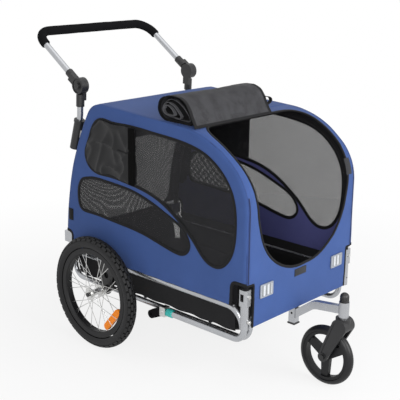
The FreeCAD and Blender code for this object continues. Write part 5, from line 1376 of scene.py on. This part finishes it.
hang_lining("rear_skirt", rear_line, (-skirt_half, skirt_half), across_cabin)
for name, ends in (("right_front_flap", (-flap_half, leg_low.y - 0.004)),
                   ("left_front_flap", (leg_high.y + 0.004, flap_half))):
    hang_lining(name, flap_line, ends, across_cabin)

# %% [markdown]
# ## Winding the door
# The mesh door and its black rain flap are wound up together on the roof. The last turn of the door
# runs over the top of the roll and down to the opening's upper edge, where it is sewn on. A plain
# spiral would look like a carpet. Each turn here is shaped like a drop, because the roll lies on the
# roof and is pulled forwards by its own tail.

# %% Winding of the door
ROLL_TURNS = 4
ROLL_FIRST_RADIUS = 0.0105
ROLL_GROWTH = 0.008
ROLL_LIP_ANGLE = math.radians(105)
ROLL_SLOPE_ANGLE = math.radians(45)
ROLL_FOOT_ANGLE = math.radians(120)
ROLL_FOOT_RADIUS, ROLL_FOOT_GROWTH = 0.003, 0.001
ROLL_LEAN = math.radians(3.1)
ROLL_TAIL_RADIUS = 0.205
ROLL_CAD_CLOTH = 0.004
ROLL_SEAT = 0.0025
roll_low, roll_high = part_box("door_roll")


def drop_turn(radius, foot):
    """One turn shaped like a drop: up the back, over the top, down the front slope and back below."""
    below = radius + ROLL_GROWTH / 2
    lip, slope = ROLL_LIP_ANGLE - math.pi / 2, ROLL_LIP_ANGLE - math.pi / 2 + ROLL_SLOPE_ANGLE
    fall = radius * math.cos(lip) + below - foot * (1 + math.cos(slope))
    front = fall / (math.cos(lip) - math.cos(slope))
    bottom = (radius * (1 + math.sin(lip)) + front * (math.sin(slope) - math.sin(lip))
              - foot * math.sin(slope) - below + ROLL_GROWTH)
    return [(ROLL_LIP_ANGLE * radius, -radius), (ROLL_SLOPE_ANGLE * front, -front),
            (ROLL_FOOT_ANGLE * foot, -foot), (bottom, None), (math.pi / 2 * below, -below)]


roll_runs = []
for turn in range(ROLL_TURNS):
    roll_runs += drop_turn(ROLL_FIRST_RADIUS + ROLL_GROWTH * turn, ROLL_FOOT_RADIUS + ROLL_FOOT_GROWTH * turn)
roll_top_radius = ROLL_FIRST_RADIUS + ROLL_GROWTH * ROLL_TURNS
roll_runs.append((ROLL_LIP_ANGLE * roll_top_radius, -roll_top_radius))
roll_runs.append((ROLL_SLOPE_ANGLE * ROLL_TAIL_RADIUS, -ROLL_TAIL_RADIUS))
roll_heading = math.pi / 2 - ROLL_LEAN
outer_start = lay_path(Vector((0, 0)), roll_heading, roll_runs)[-2][2]
outer_place = Vector((roll_low.x + ROLL_CAD_CLOTH, roll_high.z - roll_top_radius - ROLL_CAD_CLOTH))
ROLL_PATH = lay_path(outer_place - outer_start, roll_heading, roll_runs)
outer_turn = ROLL_PATH[-2][0]
roll_length = sum(length for length, radius in roll_runs)
while profile_find(*path_at(ROLL_PATH, roll_length)[0])[1] < ROLL_SEAT:
    roll_length = roll_length - 0.001
print("winding", round(roll_length, 3), "m long")

# %% [markdown]
# ### The wound sheets
# The layers lie unevenly, so the near end shows a stepped spiral: its middle stands out and the turns
# round it lie deeper. Each sheet is cut flat as a grid, like the covers, and `roll_point` then winds it,
# with dents, creases and a bulge where the tail hangs. Black or grey tape binds the ends and the foot.

# %% Wound sheets
WIND_STEP, WIDTH_STEP = 0.0032, 0.0042
END_BINDING, FOOT_BINDING = 0.0125, 0.0096
HANG_LENGTH = 0.165
HANG_BULGE = 0.022
FLAP_LENGTH = 0.50
FLAP_OVERLAP = 0.030


def roll_point(along, share, lift):
    """Place on a wound sheet: distance unwound, share of its width, and lift off the winding."""
    wound = along / roll_length
    near = roll_low.y - 0.006 + 0.034 * math.sin(math.pi * min(1.0, 1.1 * wound)) ** 2
    near = near + 0.008 * ripple(wound * 9, 0.0, 1.0, 3.0)
    far = roll_high.y - 0.012 * math.sin(math.pi * wound) - 0.006 * ripple(wound * 8, 5.0, 1.0, 6.0)
    y = near + (far - near) * share
    outside = min(1.0, max(0.0, (along - outer_turn + 0.03) / 0.08))
    free = min(1.0, (roll_length - along) / 0.05)
    dents = 0.0085 * (ripple(along * 15, y * 8, 1.0, 7.0) - 0.7) * outside * free
    creases = 0.0024 * (ripple(along * 50 + y * 14, y * 30, 1.0, 2.0) - 0.9) * (0.3 + 0.7 * free)
    folds = 0.0042 * (ripple(along * 42 + y * 5, y * 6, 1.0, 11.0) - 0.75) * outside * free
    hanging = min(1.0, max(0.0, (along - roll_length + HANG_LENGTH) / HANG_LENGTH))
    bulge = HANG_BULGE * math.sin(math.pi * hanging ** 0.8) ** 2
    spot, inward = path_at(ROLL_PATH, along)
    spot = spot - inward * (lift + dents + creases + folds + bulge)
    return Vector((spot.x, y, spot.y))


def wind_sheet(name, begin, end, lift, cloth, finishes):
    """One wound sheet with bound ends, from one distance along the winding to another."""
    width, length = roll_high.y - roll_low.y, end - begin
    counts = (round(width / WIDTH_STEP), round(length / WIND_STEP))
    sheet = gridded_sheet((0, 0), (width, length), counts, cloth)
    for face in sheet.faces:
        middle = face.calc_center_median()
        from_end, from_foot = min(middle.x, width - middle.x), length - middle.y
        face.material_index = 1 if from_end < END_BINDING or from_foot < FOOT_BINDING else 0
    lay(sheet, lambda flat: roll_point(begin + flat.y, flat.x / width, lift - flat.z), lambda x, y: 0.0)
    piece = make_piece(name, sheet, finishes)
    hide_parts("door_roll")
    print(name, "unrolled", round(length, 3), "m by", round(width, 3), "m")
    return piece, (width, length)


door, door_size = wind_sheet(
    "rolled_door", FLAP_LENGTH - FLAP_OVERLAP, roll_length, 0.0006, 0.0018, [roll_mesh, binding_tape])
flap, flap_size = wind_sheet(
    "rolled_rain_flap", 0.0, FLAP_LENGTH, 0.0028, 0.0016, [black_cloth, edge_tape])

# %% [markdown]
# ### Loop at the roll's far end
# A small loop of tape stands out at the far end of the roll, where a strap would hold it. It could be
# a torus, but tape is flat, so a thin section is swept round half a turn.

# %% Loop of the roll
LOOP_STEPS = 16
LOOP_REACH, LOOP_HALF = 0.036, 0.015
LOOP_TAPE_HALF, LOOP_THICK_HALF = 0.007, 0.0009
loop_spot = path_at(ROLL_PATH, roll_length - 0.048)[0]
loop_line = []
for step in range(LOOP_STEPS + 1):
    turn = math.pi * step / LOOP_STEPS
    loop_line.append(Vector((
        roll_high.y - 0.012 + LOOP_REACH * math.sin(turn), loop_spot.y + 0.004 + LOOP_HALF * math.cos(turn))))
loop_section = ((-LOOP_THICK_HALF, -LOOP_TAPE_HALF), (LOOP_THICK_HALF, -LOOP_TAPE_HALF),
                (LOOP_THICK_HALF, LOOP_TAPE_HALF), (-LOOP_THICK_HALF, LOOP_TAPE_HALF))
roll_loop = lay_trim(
    "roll_loop", [(loop_line, False)], loop_section,
    lambda flat: Vector((loop_spot.x + flat.z, flat.x, flat.y)), lambda y, z: 0.0, spacing=0.003)
print("loop stands out", LOOP_REACH * 1000, "mm")

# %% [markdown]
# ## Tyres
# A bicycle tyre is a round rubber casing, open towards the rim. A torus would be a quick stand-in, but it
# is closed and can't carry rows of tread. So the casing's section is drawn once, with a corner wherever
# a row of tread begins or ends, and turned round the axle with Spin.

# %% Tyres
TYRE_STEPS = 180
TYRE_WALL = 0.005
BLOCK_HEIGHT = 0.0017
SECTION_ANGLES = (-132, -112, -92, -74, -60, -38, -33, -14, -9, 9, 14, 33, 38, 60, 74, 92, 112, 132)


def turned_casing(centre, core, half_width):
    """Closed tyre casing without its tread."""
    tyre = bmesh.new()
    section = []
    for wall, angles in ((half_width - BLOCK_HEIGHT, SECTION_ANGLES),
                         (half_width - TYRE_WALL, SECTION_ANGLES[::-1])):
        for lean in map(math.radians, angles):
            section.append(tyre.verts.new(
                centre + Vector((core + wall * math.cos(lean), wall * math.sin(lean), 0))))
    lines = [tyre.edges.new(pair) for pair in zip(section, section[1:] + section[:1])]
    bmesh.ops.spin(tyre, geom=section + lines, cent=centre, axis=(0, 1, 0), angle=2 * math.pi,
                   steps=TYRE_STEPS, use_merge=True)
    bmesh.ops.recalc_face_normals(tyre, faces=tyre.faces)
    return tyre


print("a casing has", len(SECTION_ANGLES) * 2 * TYRE_STEPS, "faces")

# %% [markdown]
# ### Tread
# A middle row of blocks, and two more on each side, grip the road. The tread could be a bump texture,
# but then the tyre's outline would be smooth. The faces of each row are extruded instead, staggered
# from row to row, so that the tread reads from the side as well as from above.

# %% Tread
TREAD_ROWS = ((0, 9), (14, 33), (38, 60))
BLOCK_REPEAT = 4
CASING_DEPTH = 0.0035


def is_block(spot, core, outside):
    """Whether a face, placed from the wheel's centre, belongs to a tread block."""
    ring = math.hypot(spot.x, spot.z)
    if math.hypot(ring - core, spot.y) < outside:
        return False
    lean = math.degrees(math.atan2(abs(spot.y), ring - core))
    step = math.floor((math.atan2(spot.z, spot.x) / (2 * math.pi) % 1.0) * TYRE_STEPS)
    return any(low <= lean <= high and (step + 2 * row) % BLOCK_REPEAT
               for row, (low, high) in enumerate(TREAD_ROWS))


for name, side in SIDES:
    tyre_low, tyre_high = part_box(name + "_wheel_tyre")
    centre = (tyre_low + tyre_high) / 2
    half_width = (tyre_high.y - tyre_low.y) / 2
    core = (tyre_high.z - tyre_low.z) / 2 - half_width
    tyre = turned_casing(centre, core, half_width)
    blocks = [face for face in tyre.faces
              if is_block(face.calc_center_median() - centre, core, half_width - CASING_DEPTH)]
    for item in bmesh.ops.extrude_face_region(tyre, geom=blocks)["geom"]:
        if isinstance(item, bmesh.types.BMVert):
            spot = item.co - centre
            hub = Vector((spot.x, 0, spot.z)).normalized() * core
            item.co = item.co + (spot - hub).normalized() * BLOCK_HEIGHT
    piece = make_piece(name + "_treaded_tyre", tyre, [tyre_rubber], name + "_wheel")
    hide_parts(name + "_wheel_tyre")
    print(piece.name, "with", len(blocks), "block faces")

# %% [markdown]
# ## The line of the grip
# The push handle is one bent tube, and the grip sits on its upper end: up one leg, round the bend and
# across. The line could be read from the CAD tube's faces, but a leg, a bend and a bar say the same in
# a few numbers, and half of it mirrors the other half.

# %% The line of the grip
HANDLE_ANGLE = math.radians(145.6)
HANDLE_REACH = 0.293
HANDLE_BEND = 0.062
GRIP_START = 0.221
BEND_STEPS, BAR_STEPS = 12, 20
button_low, button_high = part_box("right_hinge_button")
hinge = Vector(((button_low.x + button_high.x) / 2, -rail_y, (button_low.z + button_high.z) / 2))
rise = Vector((math.cos(HANDLE_ANGLE), 0, math.sin(HANDLE_ANGLE)))


def grip_line():
    """Centre line of the grip, from the right leg of the handle round to the left one."""
    leg = HANDLE_REACH - HANDLE_BEND
    half = [hinge + rise * (GRIP_START + (leg - GRIP_START) * step / 3) for step in range(3)]
    bend = hinge + rise * leg + Vector((0, HANDLE_BEND, 0))
    for step in range(BEND_STEPS + 1):
        turn = math.pi / 2 * step / BEND_STEPS
        half.append(bend + rise * HANDLE_BEND * math.sin(turn) - Vector((0, HANDLE_BEND * math.cos(turn), 0)))
    far = half[-1]
    half += [Vector((far.x, far.y * (1 - step / BAR_STEPS), far.z)) for step in range(1, BAR_STEPS)]
    return half + [Vector((point.x, -point.y, point.z)) for point in reversed(half)]


line = grip_line()
print("grip centre line", round(sum((b - a).length for a, b in zip(line, line[1:])), 3), "m")

# %% [markdown]
# ## Foam grip
# The grip is a foam sleeve, slightly uneven, with rounded ends. A cylinder could be bent along a curve.
# The sweep that makes the tapes works here as well: a circle is extruded along the line, and each point
# is then pressed in or out by a little noise.

# %% Foam grip
GRIP_RADIUS = 0.0168
GRIP_END_ROUND = 0.0022
GRIP_DENT = 0.0005
GRIP_ROUND_STEPS = 28
grip_up = Vector((-rise.z, 0, rise.x))
centres = kdtree.KDTree(len(line))
stations = []
for index, point in enumerate(line):
    run = (line[min(index + 1, len(line) - 1)] - line[max(index - 1, 0)]).normalized()
    axes = Matrix((grip_up, run.cross(grip_up), run)).transposed().to_4x4()
    stations.append(Matrix.Translation(point) @ axes)
    centres.insert(point, index)
centres.balance()
grip = bmesh.new()
sweep(grip, round_section(GRIP_RADIUS, 0.0, GRIP_ROUND_STEPS), stations)
for vert in grip.verts:
    middle, index, reach = centres.find(vert.co)
    spoke = (vert.co - middle).normalized()
    spot = middle + spoke * (GRIP_RADIUS - (GRIP_END_ROUND if index in (0, len(line) - 1) else 0.0))
    vert.co = spot + spoke * (GRIP_DENT * noise.noise(spot * 40) - 0.0003)
grip_piece = make_piece("foam_grip", grip, [foam], "push_handle")
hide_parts("handle_grip")
print("grip", round(2000 * GRIP_RADIUS, 1), "mm thick")

# %% [markdown]
# ## Camera
# The camera stands where the photograph was taken from, found by matching points on the trailer. It
# could be aimed with a Track To constraint, but that can't hold the slight roll, so its three axes are
# worked out and written into its matrix.

# %% Camera
CAMERA_AZIMUTH = math.radians(42.592)
CAMERA_ELEVATION = math.radians(16.074)
CAMERA_ROLL = math.radians(0.6836)
CAMERA_LENS = 81.706
CAMERA_DISTANCE = 3.23813
CAMERA_AIM = Vector((-0.04886, 0, 0.51236))

back_way = Vector((
    math.sin(CAMERA_AZIMUTH) * math.cos(CAMERA_ELEVATION),
    -math.cos(CAMERA_AZIMUTH) * math.cos(CAMERA_ELEVATION), math.sin(CAMERA_ELEVATION)))
right_way = Vector((math.cos(CAMERA_AZIMUTH), math.sin(CAMERA_AZIMUTH), 0))
up_way = back_way.cross(right_way)
rolled_right = right_way * math.cos(CAMERA_ROLL) + up_way * math.sin(CAMERA_ROLL)
rolled_up = up_way * math.cos(CAMERA_ROLL) - right_way * math.sin(CAMERA_ROLL)
camera_data = bpy.data.cameras.new("camera")
camera_data.lens = CAMERA_LENS
camera = bpy.data.objects.new("camera", camera_data)
camera_axes = Matrix((rolled_right, rolled_up, back_way)).transposed().to_4x4()
camera.matrix_world = Matrix.Translation(CAMERA_AIM + back_way * CAMERA_DISTANCE) @ camera_axes
bpy.context.scene.collection.objects.link(camera)
bpy.context.scene.camera = camera
print("camera", [round(value, 3) for value in camera.matrix_world.translation])

# %% [markdown]
# ## Floor
# The trailer stands on a pale floor that carries a soft shadow and fades into white. More light would
# make it white too, but would bleach the trailer. So the floor is an ordinary pale surface to the
# lamps, and mostly plain white to the camera, more so the farther out it is.

# %% Floor
FLOOR_HALF = 30
FLOOR_FADE = (0.7, 2.0)


def seen_directly(tree):
    """1 where the camera, a reflection or a see-through surface looks, and 0 for the light of the scene."""
    sight = tree.nodes.new("ShaderNodeLightPath")
    seen = joined(tree, "MAXIMUM", sight.outputs["Is Camera Ray"], sight.outputs["Is Glossy Ray"])
    return joined(tree, "MAXIMUM", seen, sight.outputs["Is Transmission Ray"])


floor_finish, tree, shader = new_finish("pale floor", (0.86, 0.86, 0.86), 0.9)
spread = node_of(tree, "ShaderNodeVectorMath")
spread.operation = "LENGTH"
tree.links.new(tree.nodes.new("ShaderNodeTexCoord").outputs["Object"], spread.inputs[0])
fade = spanned(tree, spread.outputs["Value"], 0.82, 1.0, From_Min=FLOOR_FADE[0], From_Max=FLOOR_FADE[1])
paper = node_of(tree, "ShaderNodeEmission", Color=(1, 1, 1, 1), Strength=1.0)
blend = tree.nodes.new("ShaderNodeMixShader")
tree.links.new(joined(tree, "MULTIPLY", seen_directly(tree), fade), blend.inputs["Fac"])
tree.links.new(shader.outputs["BSDF"], blend.inputs[1])
tree.links.new(paper.outputs["Emission"], blend.inputs[2])
tree.links.new(blend.outputs["Shader"], tree.nodes["Material Output"].inputs["Surface"])
ground = bmesh.new()
bmesh.ops.create_grid(ground, x_segments=1, y_segments=1, size=FLOOR_HALF)
floor = object_of("floor", ground)
floor.data.materials.append(floor_finish)
floor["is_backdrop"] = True
print("floor", 2 * FLOOR_HALF, "m wide")

# %% [markdown]
# ## Light
# The photograph has soft studio light with hardly a shadow. One strong lamp would draw hard edges.
# A dim white world lights every side, and three large lamps shape the front, the side and the roof, at
# a level that keeps the colours close to how they are written.

# %% Light
WORLD_LEVEL = 0.38
LAMPS = (
    ("key lamp", (3.6, 0.4, 1.9), 2.2, 106),
    ("side lamp", (2.0, -2.5, 1.5), 1.5, 46),
    ("top lamp", (-0.2, 0.3, 4.2), 3.0, 22),
)
world = bpy.data.worlds.new("studio")
bpy.context.scene.world = world
world.use_nodes = True
tree = world.node_tree
sky = tree.nodes["Background"]
sky.inputs["Color"].default_value = (1, 1, 1, 1)
tree.links.new(spanned(tree, seen_directly(tree), WORLD_LEVEL, 1.0), sky.inputs["Strength"])
for name, spot, size, power in LAMPS:
    lamp_data = bpy.data.lights.new(name, "AREA")
    lamp_data.size = size
    lamp_data.energy = power
    lamp = bpy.data.objects.new(name, lamp_data)
    lamp.location = spot
    lamp.rotation_euler = (CAMERA_AIM - Vector(spot)).to_track_quat("-Z", "Y").to_euler()
    bpy.context.scene.collection.objects.link(lamp)
bpy.context.scene.view_settings.view_transform = "Standard"
print("lamps", [name for name, spot, size, power in LAMPS])

# %% [markdown]
# Cloth that swells past the frame would no longer fit beside other parts. The box of the CAD model and
# the box of the dressed trailer are both measured, and their sizes printed. The dressed trailer has to
# stay in the CAD model's box, apart from a small margin for soft pieces.

# %% Size
visual_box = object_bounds()
boxes = {
    "cad": [list(corner) for corner in cad_box],
    "visual": [list(corner) for corner in visual_box],
}
for name, (low, high) in boxes.items():
    print(name, "size", [round(b - a, 4) for a, b in zip(low, high)], "m")
